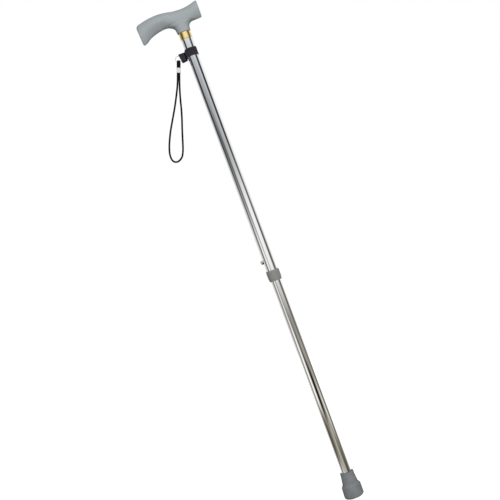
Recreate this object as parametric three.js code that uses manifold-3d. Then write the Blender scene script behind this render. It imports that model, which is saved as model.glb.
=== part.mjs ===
// Telescopic walking stick: a moulded derby handle on two chromed tubes, with a snap button,
// a locking ring, a rubber ferrule, and a strap that carries a corded wrist loop.
// Millimetres, +Z up. The origin is the centre of the ferrule's tread.
// The stick leans as a hand holds it out, so the wrist loop hangs plumb beside it.
import * as THREE from "three";
import { mergeVertices } from "three/addons/utils/BufferGeometryUtils.js";
import Module from "manifold-3d";

const wasm = await Module();
wasm.setup();

// Driving dimensions of the whole stick
const leanDegrees = 20.25;
const clearance = 0.3; // between neighbouring pieces
const overrun = 2; // how far a cutter runs past the face that it cuts
const weldDistance = 0.0002; // vertices closer than this are one

// Tubes: the lower one slides in the upper one with the clearance all round
const upperTubeDiameter = 21;
const tubeWall = 0.9;
const upperTubeLength = 466.4;
const lowerTubeLength = 512;
const lowerTubeOverlap = 104.1; // how much of it lies above the locking ring's foot

// Height setting
const detentPitch = 25.4;
const detentCount = 7;
const buttonDiameter = 7.6;
const buttonDome = 2.6; // height of the rounded top
const buttonProud = 4.7; // how far the dome stands out of the upper tube
const buttonAboveRing = 18.3;
const flangeOverlap = 0.7; // how far the flange reaches past the shank
const flangeThickness = 0.8;
const springThickness = 0.6;
const springWidth = 7;
const springRise = 36; // from the bend of the V up to the button
const springTip = 6.5; // how far each leg runs on past the button
const springBendRadius = 2.6;

// Plug in the top of the lower tube
const capFlangeThickness = 2;
const capSpigotLength = 12;
const capWall = 2.4;

// Locking ring and its collet
const ringHeight = 19.6;
const ringWall = 0.8; // at the top, round the upper tube
const ringSwell = 0.4; // how far the barrel stands out past its top
const ringFootInset = 0.8; // how far the foot draws in under the top
const ringEdgeRadius = 0.7;
const tubeInRing = 9; // how much of the upper tube the ring covers
const ringSeatThickness = 2.4; // floor under the collet
const colletStraight = 2.4; // height of the collet above its cone
const colletTipWall = 0.6;
const colletSlit = 1.6;

// Outline of the ring's barrel: share of its height, share of the way out from its foot to its widest
const ringBarrelShares = [[0.06, 0], [0.26, 0.84], [0.5, 1], [0.8, 0.98], [0.95, 0.67]];

// Ferrule and the washer in it
const ferruleHeight = 46.8;
const ferruleMouthWall = 3;
const ferruleSleeveWall = 4.6; // where the sleeve meets the shoulder
const ferruleShoulderWidth = 3.8;
const ferruleTreadInset = 2.4; // from the base's side in to the tread, also the edge's radius
const ferruleShoulderHeight = 26;
const ferruleShoulderDrop = 7.8;
const shoulderBulgeShares = [0.72, 0.6]; // of the shoulder's width and drop
const ferruleFloor = 6;
const ferruleLip = 1; // bevel round the mouth
const washerThickness = 1.5;
const grooveWidth = 1.5;
const grooveDepth = 1.2;
const grooveCount = 3;

// Collar ring under the handle
const collarHeight = 12.2;
const collarWall = 0.5;
const collarEdgeRadius = 0.3;

// Handle's bar
const handleRear = 78.1; // from the shaft's axis to the rear end
const handleNose = 40.3; // from the shaft's axis to the nose
const handleHeight = 45.5; // from the rear tip's underside to the nose's crown
const handleDepth = 30;
const handleAboveNeck = 2.9; // from the neck's foot up to the rear tip's underside
const handleEdgeRadius = 2.6;
const handleRearSlant = 2.6; // how far the rear face leans out over its height
const rearSlantShare = 0.25; // of the bar's length, over which the slant fades
const handleSquareness = 2.5; // exponent of the rounded section

// Outline of the bar: share of the length from the rear end, share of the height
const handleTopShares = [
  [0, 0.75], [0.03, 0.835], [0.1, 0.889], [0.216, 0.945], [0.338, 0.967], [0.423, 0.957], [0.507, 0.928],
  [0.592, 0.884], [0.676, 0.865], [0.761, 0.861], [0.845, 0.888], [0.93, 0.947], [1, 1],
];
const handleUndersideShares = [
  [0, 0], [0.02, -0.002], [0.068, 0.04], [0.127, 0.136], [0.169, 0.198], [0.254, 0.277], [0.338, 0.325],
  [0.423, 0.337], [0.656, 0.316], [0.862, 0.276], [0.93, 0.273], [1, 0.285],
];
// Half depth along the bar, as a share of the full half depth
const handleDepthShares = [
  [0, 0.78], [0.12, 0.88], [0.35, 1], [0.6, 0.95], [0.72, 0.9], [0.88, 0.84], [1, 0.78],
];

// Handle's neck: share of the rise, flare lengthways and across as shares
const neckOverhang = 0.8; // how far the neck's foot stands out past the collar
const neckRise = 17.4;
const neckFlare = 8.5;
const neckInsideBar = 8; // how far the neck runs on inside the bar
const neckFlareShares = [
  [0, 0, 0], [0.22, 0.06, 0.01], [0.42, 0.12, 0.02], [0.58, 0.2, 0.04], [0.7, 0.34, 0.06], [0.79, 0.55, 0.09],
  [0.87, 0.82, 0.12], [0.94, 1.1, 0.15], [1, 1.4, 0.16],
];
const stemLength = 38;
const stemWall = 3.4;
const pinDiameter = 3;

// Strap round the upper tube
const strapThickness = 0.9;
const strapHeight = 15.2;
const strapBelowCollar = 25.6; // from the collar's foot to the middle of the strap
const tabDrop = 3.5; // how much lower the tab's end hangs
const tabDropAtNeckShare = 0.6; // of the tab's drop, where the two layers come together
const tabReach = 24; // from the shaft's axis to the end of the tab
const tabNeckReach = 15.4; // where the two layers come together
const strapLeaveDegrees = 36; // where the strap leaves the tube for the tab
const patchThickness = 0.8;
const patchHalfDegrees = 32;
const tailHalfDegrees = 44;
const tailRampDegrees = 16;

// Split ring through the tab
const splitRingDiameter = 11.6; // between the wire's centres
const wireRadial = 0.9;
const wireAxial = 0.8;
const wireLift = 0.95; // between the two turns
const splitRingReach = 26.5; // from the shaft's axis to the ring's centre
const splitRingStepDegrees = 40; // the wire's change from one turn to the other
const splitRingOpenDegrees = 26;

// Cord of the wrist loop and its crimp
const cordDiameter = 3.1;
const crimpHeight = 9;
const crimpWall = 0.4;
const crimpRecess = 2;
const crimpSquareness = 5; // exponent of the sleeve's section
const eyeLength = 14.6; // from the crimp to the top of the cord over the ring

// The cord's route below the crimp, as a hand would let it fall.
// Each point is [across, in depth, up] from the middle of the crimp's lower face.
const loopRoute = [
  [-1.65, -1.65, 1.7], [-1.65, -1.65, -4], [-1.7, -1.7, -12], [-2, -1.8, -21], [-2.8, -2.2, -31],
  [-4.4, -2.7, -45], [-6.4, -3.1, -60], [-8.9, -3.3, -75], [-11.8, -3.3, -91], [-14.4, -3, -106],
  [-16, -2.3, -121], [-16.7, -1.4, -134], [-16.2, -0.5, -145], [-14, 0.3, -153.3], [-10.6, 0.8, -158.8],
  [-6, 1.2, -160.9], [-1.2, 1.5, -160.1], [3.1, 1.8, -156.4], [6.2, 2, -151], [7.6, 2.3, -142],
  [7.5, 2.5, -130], [6.8, 2.6, -115], [6.2, 2.4, -99], [5.8, 1.9, -82], [4.8, 1.1, -65], [3.5, 0.2, -51],
  [2.6, -0.6, -39], [2, -1.1, -28], [1.7, -1.5, -17], [1.65, -1.65, -8], [1.65, -1.65, 1.7],
];

// Facets
const roundFacets = 40;
const holeFacets = 16;
const cordFacets = 8;
const arcSteps = 4;
const curveSamples = 10; // for each span of a curve that is read by its shares
const handleStations = 30;
const handleFacets = 26;
const eyeSteps = 22;
const loopSteps = 72;
const strapBackSteps = 18; // round the tube, for half the strap
const wireStepsEachTurn = 34;

// Radii that neighbours share
const upperOuter = upperTubeDiameter / 2;
const upperInner = upperOuter - tubeWall;
const lowerOuter = upperInner - clearance;
const lowerInner = lowerOuter - tubeWall;
const ringBore = upperOuter + clearance;
const lowerBore = lowerOuter + clearance;
const coneFootRadius = lowerBore + colletTipWall + clearance;
const collarOuter = upperOuter + clearance + collarWall;
const neckRadius = collarOuter + neckOverhang;
const bandRadius = upperOuter + clearance + strapThickness / 2;
const patchRadius = bandRadius + strapThickness / 2 + clearance + patchThickness / 2;
const cordRadius = cordDiameter / 2;
const strandOffset = cordRadius + clearance / 2;
const wireStackHalf = (wireLift + wireAxial) / 2;
const pocketRadius = Math.hypot(wireStackHalf, wireRadial / 2) + clearance;
const ringRadius = splitRingDiameter / 2;
const wireRise = ringRadius - Math.sqrt(ringRadius ** 2 - strandOffset ** 2); // at a strand
const bendRadius = wireStackHalf + wireRise + clearance + cordRadius;

// Places along the shaft, from the tread up
const washerZ = ferruleFloor + clearance;
const lowerTubeBottomZ = washerZ + washerThickness + clearance;
const lowerTubeTopZ = lowerTubeBottomZ + lowerTubeLength;
const ringBottomZ = lowerTubeTopZ - lowerTubeOverlap;
const ringTopZ = ringBottomZ + ringHeight;
const seatZ = ringBottomZ + ringSeatThickness;
const upperTubeBottomZ = ringTopZ - tubeInRing;
const coneTopZ = upperTubeBottomZ - clearance - colletStraight;
const upperTubeTopZ = upperTubeBottomZ + upperTubeLength;
const neckZ = upperTubeTopZ + clearance;
const collarTopZ = neckZ - clearance;
const collarBottomZ = collarTopZ - collarHeight;
const pinZ = (collarBottomZ + collarTopZ) / 2;
const buttonZ = ringTopZ + buttonAboveRing;
const strapZ = collarBottomZ - strapBelowCollar;
const tabZ = strapZ - tabDrop;

// Places across the shaft: the button's flange bears on the inside of the lower tube
const flangeRadius = buttonDiameter / 2 + flangeOverlap;
const buttonBackX = flangeThickness + clearance - Math.sqrt(lowerInner ** 2 - flangeRadius ** 2);
const buttonTipX = -upperOuter - buttonProud;

// Places below the split ring's wire, on the plumb line
const crimpTopDrop = eyeLength - bendRadius - cordRadius;
const crimpBottomDrop = crimpTopDrop + crimpHeight;

const turn = THREE.MathUtils.degToRad;

// Materials
function material(color, roughness, metalness) {
  return new THREE.MeshStandardMaterial({ color, roughness, metalness });
}

const chrome = material(0xd8d9da, 0.1, 1);
const brass = material(0xcfa23c, 0.2, 1);
const steel = material(0xb9bbbd, 0.3, 1);
const handlePlastic = material(0x9ba2a4, 0.5, 0);
const ringPlastic = material(0x85867f, 0.55, 0);
const nylon = material(0x34363a, 0.5, 0);
const rubber = material(0x767a7b, 0.8, 0);
const webbing = material(0x2a282d, 0.95, 0);
const cordBlack = material(0x141415, 0.9, 0);
const crimpWhite = material(0xd9dbdb, 0.4, 0);

const stick = new THREE.Group();
stick.rotation.y = -turn(leanDegrees);
const part = new THREE.Group();
part.add(stick);

// Makes one closed, outward-facing geometry with shared vertices.
function closedGeometry(geometry) {
  const bare = geometry.clone();
  bare.deleteAttribute("normal");
  bare.deleteAttribute("uv");
  const merged = mergeVertices(bare, weldDistance);
  const corners = merged.index.array;
  const kept = [];
  for (let i = 0; i < corners.length; i += 3) {
    const [a, b, c] = [corners[i], corners[i + 1], corners[i + 2]];
    if (a !== b && b !== c && c !== a) {
      kept.push(a, b, c);
    }
  }
  if (signedVolume(merged, kept) < 0) {
    kept.reverse();
  }
  merged.setIndex(kept);
  merged.computeVertexNormals();
  return merged;
}

function signedVolume(geometry, corners) {
  const place = geometry.attributes.position;
  const a = new THREE.Vector3();
  const b = new THREE.Vector3();
  const c = new THREE.Vector3();
  let total = 0;
  for (let i = 0; i < corners.length; i += 3) {
    a.fromBufferAttribute(place, corners[i]);
    b.fromBufferAttribute(place, corners[i + 1]);
    c.fromBufferAttribute(place, corners[i + 2]);
    total += a.dot(b.cross(c));
  }
  return total;
}

function toSolid(geometry) {
  const closed = closedGeometry(geometry);
  const vertProperties = new Float32Array(closed.attributes.position.array);
  const triVerts = new Uint32Array(closed.index.array);
  return new wasm.Manifold(new wasm.Mesh({ numProp: 3, vertProperties, triVerts }));
}

function toGeometry(solid) {
  const mesh = solid.getMesh();
  const geometry = new THREE.BufferGeometry();
  geometry.setAttribute("position", new THREE.BufferAttribute(mesh.vertProperties, 3));
  geometry.setIndex(new THREE.BufferAttribute(mesh.triVerts, 1));
  return closedGeometry(geometry);
}

function addPiece(group, name, geometry, finish) {
  const mesh = new THREE.Mesh(closedGeometry(geometry), finish);
  mesh.name = name;
  group.add(mesh);
}

// Revolves a profile of [radius, z] points round the Z axis.
function revolve(profile, facets = roundFacets) {
  const points = profile.map(([radius, z]) => new THREE.Vector2(radius, z));
  return new THREE.LatheGeometry(points, facets).rotateX(Math.PI / 2);
}

// A closed ring of material between two radii and two heights.
function hollowCylinder(outer, inner, bottomZ, topZ) {
  return revolve([[inner, bottomZ], [outer, bottomZ], [outer, topZ], [inner, topZ], [inner, bottomZ]]);
}

function solidCylinder(radius, bottomZ, topZ, facets = roundFacets) {
  return revolve([[0, bottomZ], [radius, bottomZ], [radius, topZ], [0, topZ]], facets);
}

// A rod along X, from one x to another, at a height on the shaft.
function rodAlongX(radius, fromX, toX, z) {
  return solidCylinder(radius, fromX, toX, holeFacets).rotateY(Math.PI / 2).translate(0, 0, z);
}

function rodAlongY(radius, halfLength, z) {
  return solidCylinder(radius, -halfLength, halfLength, holeFacets).rotateX(Math.PI / 2).translate(0, 0, z);
}

// Points on an arc in a profile, as [radius, z] or [x, y].
function arc(centreA, centreB, radius, startDegrees, endDegrees, steps = arcSteps) {
  const points = [];
  for (let i = 0; i <= steps; i += 1) {
    const angle = turn(THREE.MathUtils.lerp(startDegrees, endDegrees, i / steps));
    points.push([centreA + radius * Math.cos(angle), centreB + radius * Math.sin(angle)]);
  }
  return points;
}

// Points on a curve in the plane, as pairs, without the first one.
function pairsOn(curve, steps) {
  return curve.getPoints(steps).slice(1).map((point) => [point.x, point.y]);
}

// Skins a row of rings that have the same number of points.
// The row is closed on itself or capped at both ends.
function skin(rings, closedOnItself = false) {
  const around = rings[0].length;
  const places = [];
  const corners = [];
  for (const ring of rings) {
    for (const point of ring) {
      places.push(point.x, point.y, point.z);
    }
  }
  const spans = closedOnItself ? rings.length : rings.length - 1;
  for (let i = 0; i < spans; i += 1) {
    const here = i * around;
    const next = ((i + 1) % rings.length) * around;
    for (let k = 0; k < around; k += 1) {
      const k2 = (k + 1) % around;
      corners.push(here + k, here + k2, next + k2, here + k, next + k2, next + k);
    }
  }
  if (!closedOnItself) {
    const last = (rings.length - 1) * around;
    for (let k = 1; k < around - 1; k += 1) {
      corners.push(0, k + 1, k, last, last + k, last + k + 1);
    }
  }
  const geometry = new THREE.BufferGeometry();
  geometry.setAttribute("position", new THREE.Float32BufferAttribute(places, 3));
  geometry.setIndex(corners);
  return geometry;
}

// A round section swept along a curve.
function tubeAlong(curve, radius, steps) {
  const rim = arc(0, 0, radius, 0, 360, cordFacets).slice(1);
  const section = new THREE.Shape(rim.map(([x, y]) => new THREE.Vector2(x, y)));
  return new THREE.ExtrudeGeometry(section, { steps, extrudePath: curve, bevelEnabled: false });
}

// Ferrule: a tapered sleeve on a stepped base, with a bore for the tube and round grooves in the tread.
function ferrule() {
  const topRadius = lowerBore + ferruleMouthWall;
  const sleeveRadius = lowerBore + ferruleSleeveWall;
  const baseRadius = sleeveRadius + ferruleShoulderWidth;
  const treadRadius = baseRadius - ferruleTreadInset;
  const shoulderFoot = ferruleShoulderHeight - ferruleShoulderDrop;
  const [bulgeOut, bulgeUp] = shoulderBulgeShares;
  const profile = [[0, 0]];
  for (let i = 1; i <= grooveCount; i += 1) {
    const middle = treadRadius * (i / (grooveCount + 0.5));
    const [from, to] = [middle - grooveWidth / 2, middle + grooveWidth / 2];
    profile.push([from, 0], [from, grooveDepth], [to, grooveDepth], [to, 0]);
  }
  profile.push(...arc(treadRadius, ferruleTreadInset, ferruleTreadInset, -90, 0));
  const bulgeRadius = sleeveRadius + bulgeOut * ferruleShoulderWidth;
  const bulgeZ = shoulderFoot + bulgeUp * ferruleShoulderDrop;
  const shoulder = new THREE.QuadraticBezierCurve(
    new THREE.Vector2(baseRadius, shoulderFoot),
    new THREE.Vector2(bulgeRadius, bulgeZ),
    new THREE.Vector2(sleeveRadius, ferruleShoulderHeight),
  );
  profile.push([baseRadius, shoulderFoot], ...pairsOn(shoulder, arcSteps));
  profile.push([topRadius, ferruleHeight - ferruleLip], [topRadius - ferruleLip / 2, ferruleHeight]);
  profile.push([lowerBore + ferruleLip / 2, ferruleHeight], [lowerBore, ferruleHeight - ferruleLip]);
  profile.push([lowerBore, ferruleFloor], [0, ferruleFloor]);
  return revolve(profile);
}

function detentHole(tubeOuter, z) {
  return toSolid(rodAlongX(buttonDiameter / 2 + clearance, -tubeOuter - overrun, 0, z));
}

// Lower tube, with one hole that the button comes out of.
function lowerTube() {
  const tube = toSolid(hollowCylinder(lowerOuter, lowerInner, lowerTubeBottomZ, lowerTubeTopZ));
  return toGeometry(tube.subtract(detentHole(lowerOuter, buttonZ)));
}

// Upper tube, with a row of holes for the button and a cross hole for the handle's pin.
function upperTube() {
  let tube = toSolid(hollowCylinder(upperOuter, upperInner, upperTubeBottomZ, upperTubeTopZ));
  for (let i = 0; i < detentCount; i += 1) {
    tube = tube.subtract(detentHole(upperOuter, buttonZ + i * detentPitch));
  }
  const pinHole = rodAlongY(pinDiameter / 2 + clearance, upperOuter + overrun, pinZ);
  return toGeometry(tube.subtract(toSolid(pinHole)));
}

// Plug that closes the top of the lower tube and steadies it in the upper one.
function tubeCap() {
  const capSeatZ = lowerTubeTopZ + clearance;
  const spigot = lowerInner - clearance;
  const bore = spigot - capWall;
  const spigotFootZ = capSeatZ - capSpigotLength;
  const topZ = capSeatZ + capFlangeThickness;
  const profile = [[bore, spigotFootZ], [spigot, spigotFootZ], [spigot, capSeatZ], [lowerOuter, capSeatZ]];
  profile.push([lowerOuter, topZ], [bore, topZ], [bore, spigotFootZ]);
  return revolve(profile);
}

// Snap button: a domed shank on a flange, lying along -X.
function snapButton() {
  const shank = buttonDiameter / 2;
  const domeFoot = buttonBackX - buttonTipX - buttonDome;
  const profile = [[0, 0], [flangeRadius, 0], [flangeRadius, flangeThickness], [shank, flangeThickness]];
  for (const [across, up] of arc(0, 0, 1, 0, 90)) {
    profile.push([shank * across, domeFoot + buttonDome * up]);
  }
  return revolve(profile, holeFacets).rotateY(-Math.PI / 2).translate(buttonBackX, 0, buttonZ);
}

// Leaf spring bent to a V: one leg backs the button, the other bears on the far wall of the lower tube.
function buttonSpring() {
  const half = springThickness / 2;
  const nearX = buttonBackX + clearance + half;
  const wallAtEdge = Math.sqrt(lowerInner ** 2 - (springWidth / 2) ** 2);
  const farX = wallAtEdge - clearance - half;
  const bendX = (nearX + farX) / 2;
  const bendZ = buttonZ - springRise;
  const kneeZ = buttonZ - springTip;
  const middle = [[nearX, buttonZ + springTip], [nearX, kneeZ]];
  middle.push(...arc(bendX, bendZ, springBendRadius, 180, 360));
  middle.push([farX, kneeZ], [farX, buttonZ + springTip]);
  const outline = [...offsetLine(middle, half), ...offsetLine(middle, -half).reverse()];
  const shape = new THREE.Shape(outline.map(([x, z]) => new THREE.Vector2(x, z)));
  const strip = new THREE.ExtrudeGeometry(shape, { depth: springWidth, bevelEnabled: false });
  return strip.rotateX(Math.PI / 2).translate(0, springWidth / 2, 0);
}

// A line of [a, b] points moved sideways by a distance, with mitred corners.
function offsetLine(points, distance) {
  return points.map(([a, b], i) => {
    const [a0, b0] = points[Math.max(i - 1, 0)];
    const [a1, b1] = points[Math.min(i + 1, points.length - 1)];
    const before = new THREE.Vector2(a - a0, b - b0).normalize();
    const after = new THREE.Vector2(a1 - a, b1 - b).normalize();
    const along = before.clone().add(after).normalize();
    const mitre = along.dot(i > 0 ? before : after);
    return [a - (along.y * distance) / mitre, b + (along.x * distance) / mitre];
  });
}

// Locking ring: a barrel whose upper bore goes on the upper tube and whose cone squeezes the collet.
function lockingRing() {
  const top = ringBore + ringWall;
  const foot = top - ringFootInset;
  const edge = ringEdgeRadius;
  const barrel = new THREE.SplineCurve(ringBarrelShares.map(([up, out]) => (
    new THREE.Vector2(foot + out * (ringFootInset + ringSwell), ringBottomZ + up * ringHeight)
  )));
  const profile = [[lowerBore, ringBottomZ], [foot - edge, ringBottomZ]];
  profile.push(...barrel.getPoints(2 * arcSteps).map((point) => [point.x, point.y]));
  profile.push([top - edge / 2, ringTopZ], [ringBore, ringTopZ], [ringBore, coneTopZ]);
  profile.push([coneFootRadius, seatZ], [lowerBore, seatZ], [lowerBore, ringBottomZ]);
  return revolve(profile);
}

// Collet: a slit tapered sleeve in the ring's cone, which grips the lower tube when the ring is tightened.
function collet() {
  const colletFootZ = seatZ + clearance;
  const colletTopZ = upperTubeBottomZ - clearance;
  const slope = (ringBore - coneFootRadius) / (coneTopZ - seatZ);
  const footRadius = coneFootRadius - clearance + slope * clearance;
  const profile = [[lowerBore, colletFootZ], [footRadius, colletFootZ], [ringBore - clearance, coneTopZ]];
  profile.push([ringBore - clearance, colletTopZ], [lowerBore, colletTopZ], [lowerBore, colletFootZ]);
  const slit = new THREE.BoxGeometry(colletSlit, ringBore + overrun, colletTopZ - colletFootZ + 2 * overrun);
  slit.translate(0, (ringBore + overrun) / 2, (colletTopZ + colletFootZ) / 2);
  return toGeometry(toSolid(revolve(profile)).subtract(toSolid(slit)));
}

// Collar ring that hides the joint between the tube and the handle.
function collarRing() {
  const inner = upperOuter + clearance;
  const edge = collarEdgeRadius;
  const profile = [[inner, collarBottomZ]];
  profile.push(...arc(collarOuter - edge, collarBottomZ + edge, edge, -90, 0, 2));
  profile.push(...arc(collarOuter - edge, collarTopZ - edge, edge, 0, 90, 2));
  profile.push([inner, collarTopZ], [inner, collarBottomZ]);
  return revolve(profile);
}

// Reads a curve through [share, value] points at one share.
function valueAt(shares, share) {
  const curve = new THREE.SplineCurve(shares.map(([a, b]) => new THREE.Vector2(a, b)));
  const samples = curve.getPoints(shares.length * curveSamples);
  const next = Math.max(samples.findIndex((point) => point.x >= share), 1);
  const before = samples[next - 1];
  const after = samples[next];
  return THREE.MathUtils.mapLinear(share, before.x, after.x, before.y, after.y);
}

// Points round a squared ellipse, as pairs across and up.
function squaredEllipse(halfAcross, halfUp, squareness, facets) {
  const points = [];
  const bulge = (value) => Math.sign(value) * Math.abs(value) ** (2 / squareness);
  for (let k = 0; k < facets; k += 1) {
    const angle = ((k + 0.5) / facets) * 2 * Math.PI;
    points.push([halfAcross * bulge(Math.cos(angle)), halfUp * bulge(Math.sin(angle))]);
  }
  return points;
}

// The handle's bar: sections along its length, drawn in at both ends to a rounded edge.
function handleBar(rearTipZ) {
  const length = handleRear + handleNose;
  const rings = [];
  for (let i = 0; i <= handleStations; i += 1) {
    const share = (1 - Math.cos((Math.PI * i) / handleStations)) / 2;
    const fromEnd = Math.min(share, 1 - share) * length;
    const into = Math.min(fromEnd / handleEdgeRadius, 1);
    const inset = handleEdgeRadius * (1 - Math.sqrt(1 - (1 - into) ** 2));
    const topZ = rearTipZ + handleHeight * valueAt(handleTopShares, share) - inset;
    const undersideZ = rearTipZ + handleHeight * valueAt(handleUndersideShares, share) + inset;
    const halfDepth = (handleDepth / 2) * valueAt(handleDepthShares, share) - inset;
    const middleZ = (topZ + undersideZ) / 2;
    const slantPart = handleRearSlant * Math.max(1 - share / rearSlantShare, 0);
    const section = squaredEllipse(halfDepth, (topZ - undersideZ) / 2, handleSquareness, handleFacets);
    rings.push(section.map(([y, up]) => {
      const x = share * length - handleRear - (slantPart * up) / handleHeight;
      return new THREE.Vector3(x, y, middleZ + up);
    }));
  }
  return skin(rings);
}

// The neck, which flares from the collar up into the bar.
function handleNeck() {
  const rings = neckFlareShares.map(([rise, lengthways, across]) => (
    neckRing(rise * neckRise, lengthways * neckFlare, across * neckFlare)
  ));
  rings.push(neckRing(neckRise + neckInsideBar, neckFlare, 0));
  return skin(rings);
}

function neckRing(rise, flareLengthways, flareAcross) {
  const ring = [];
  for (let k = 0; k < roundFacets; k += 1) {
    const angle = (k / roundFacets) * 2 * Math.PI;
    const x = Math.cos(angle) * (neckRadius + flareLengthways);
    const y = Math.sin(angle) * (neckRadius + flareAcross);
    ring.push(new THREE.Vector3(x, y, neckZ + rise));
  }
  return ring;
}

// Handle: bar, neck and the stem that goes into the tube, cored from below and drilled for the pin.
function handle() {
  const stemRadius = upperInner - clearance;
  const stemFootZ = neckZ - stemLength;
  const stem = solidCylinder(stemRadius, stemFootZ, neckZ + overrun);
  const core = solidCylinder(stemRadius - stemWall, stemFootZ - overrun, neckZ);
  const pinHole = rodAlongY(pinDiameter / 2 + clearance, stemRadius + overrun, pinZ);
  const body = toSolid(handleBar(neckZ + handleAboveNeck)).add(toSolid(handleNeck())).add(toSolid(stem));
  return toGeometry(body.subtract(toSolid(core)).subtract(toSolid(pinHole)));
}

// A band of webbing that follows a plan line of [x, y, z of its middle] points.
function ribbon(line, thickness, height, closedOnItself) {
  const count = line.length;
  const rings = line.map(([x, y, z], i) => {
    const before = line[closedOnItself ? (i - 1 + count) % count : Math.max(i - 1, 0)];
    const after = line[closedOnItself ? (i + 1) % count : Math.min(i + 1, count - 1)];
    const along = new THREE.Vector2(after[0] - before[0], after[1] - before[1]).normalize();
    const [sideX, sideY] = [(-along.y * thickness) / 2, (along.x * thickness) / 2];
    return [
      new THREE.Vector3(x + sideX, y + sideY, z - height / 2),
      new THREE.Vector3(x - sideX, y - sideY, z - height / 2),
      new THREE.Vector3(x - sideX, y - sideY, z + height / 2),
      new THREE.Vector3(x + sideX, y + sideY, z + height / 2),
    ];
  });
  return skin(rings, closedOnItself);
}

// Half of the strap's plan line, from the tab's end to the back of the tube, on the side where y is negative.
function strapHalfLine() {
  const foldRadius = pocketRadius + strapThickness / 2;
  const foldX = -tabReach + strapThickness / 2 + foldRadius;
  const neckY = (strapThickness + clearance) / 2;
  const leave = turn(180 + strapLeaveDegrees);
  const leaveX = bandRadius * Math.cos(leave);
  const leaveY = bandRadius * Math.sin(leave);
  const pull = bandRadius / 3;
  const pocketEndX = -splitRingReach + ringRadius + foldRadius;
  const pocketSide = new THREE.CubicBezierCurve(
    new THREE.Vector2(pocketEndX, -foldRadius),
    new THREE.Vector2((pocketEndX - tabNeckReach) / 2, -foldRadius),
    new THREE.Vector2((pocketEndX - tabNeckReach) / 2, -neckY),
    new THREE.Vector2(-tabNeckReach, -neckY),
  );
  const ontoTube = new THREE.CubicBezierCurve(
    new THREE.Vector2(-tabNeckReach, -neckY),
    new THREE.Vector2(-tabNeckReach + pull / 2, -neckY),
    new THREE.Vector2(leaveX + pull * Math.sin(leave), leaveY - pull * Math.cos(leave)),
    new THREE.Vector2(leaveX, leaveY),
  );
  const plan = arc(foldX, 0, foldRadius, 180, 270);
  plan.push([pocketEndX, -foldRadius], ...pairsOn(pocketSide, arcSteps), ...pairsOn(ontoTube, 2 * arcSteps));
  plan.push(...arc(0, 0, bandRadius, 180 + strapLeaveDegrees, 360, strapBackSteps).slice(1));
  const dropStart = bandRadius * Math.cos(turn(strapLeaveDegrees));
  return plan.map(([x, y]) => {
    const toNeck = THREE.MathUtils.smoothstep(-x, dropStart, tabNeckReach);
    const toEnd = THREE.MathUtils.smoothstep(-x, bandRadius, tabReach);
    return [x, y, strapZ - tabDrop * THREE.MathUtils.lerp(toEnd, toNeck, tabDropAtNeckShare)];
  });
}

// A fat ring round the split ring's wire, which cuts its slits and pocket in the tab.
function wireRoom() {
  const room = new THREE.TorusGeometry(ringRadius, pocketRadius, holeFacets / 2, roundFacets / 2);
  return room.rotateX(Math.PI / 2).translate(-splitRingReach, 0, tabZ);
}

// Strap: one band of webbing, round the tube and doubled to a tab whose fold goes through the split ring.
function strapBand() {
  const half = strapHalfLine();
  const mirrored = half.slice(1, -1).reverse().map(([x, y, z]) => [x, -y, z]);
  const band = toSolid(ribbon([...half, ...mirrored], strapThickness, strapHeight, true));
  return toGeometry(band.subtract(toSolid(wireRoom())));
}

// A plan line round the tube, level with the strap's middle.
function levelLine(radius, fromDegrees, toDegrees, steps) {
  return arc(0, 0, radius, fromDegrees, toDegrees, steps).map(([x, y]) => [x, y, strapZ]);
}

// Hook patch and the strap's tail, which close the band behind the tube.
function hookPatch() {
  const line = levelLine(patchRadius, 90 - patchHalfDegrees, 90 + patchHalfDegrees, 2 * arcSteps);
  return ribbon(line, patchThickness, strapHeight - 2 * strapThickness, false);
}

function strapTail() {
  const highRadius = patchRadius + patchThickness / 2 + clearance + strapThickness / 2;
  const lowRadius = bandRadius + strapThickness + clearance;
  const rampStart = 90 + patchHalfDegrees + tailRampDegrees / 4;
  const rampEnd = rampStart + tailRampDegrees;
  const line = levelLine(highRadius, 90 - tailHalfDegrees, rampStart, 2 * arcSteps);
  for (let i = 1; i <= arcSteps; i += 1) {
    const share = i / arcSteps;
    const radius = THREE.MathUtils.lerp(highRadius, lowRadius, THREE.MathUtils.smoothstep(share, 0, 1));
    const angle = turn(THREE.MathUtils.lerp(rampStart, rampEnd, share));
    line.push([radius * Math.cos(angle), radius * Math.sin(angle), strapZ]);
  }
  line.push(...levelLine(lowRadius, rampEnd, 90 + 2 * tailHalfDegrees - patchHalfDegrees, arcSteps).slice(1));
  return ribbon(line, strapThickness, strapHeight, false);
}

// Split ring: flat wire in two turns, stepping from one to the other, with its ends either side of the step.
function splitRing() {
  const rings = [];
  const last = 720 - splitRingOpenDegrees;
  const half = splitRingStepDegrees / 2;
  const steps = 2 * wireStepsEachTurn;
  for (let i = 0; i <= steps; i += 1) {
    const degrees = THREE.MathUtils.lerp(splitRingOpenDegrees, last, i / steps);
    const lift = wireLift * (THREE.MathUtils.smoothstep(degrees, 360 - half, 360 + half) - 0.5);
    const out = new THREE.Vector3(Math.cos(turn(degrees)), 0, Math.sin(turn(degrees)));
    rings.push([[-1, -1], [1, -1], [1, 1], [-1, 1]].map(([side, along]) => {
      const point = out.clone().multiplyScalar((splitRingDiameter + side * wireRadial) / 2);
      point.y = lift + (along * wireAxial) / 2;
      return point;
    }));
  }
  return skin(rings).translate(0, 0, ringRadius);
}

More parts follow.
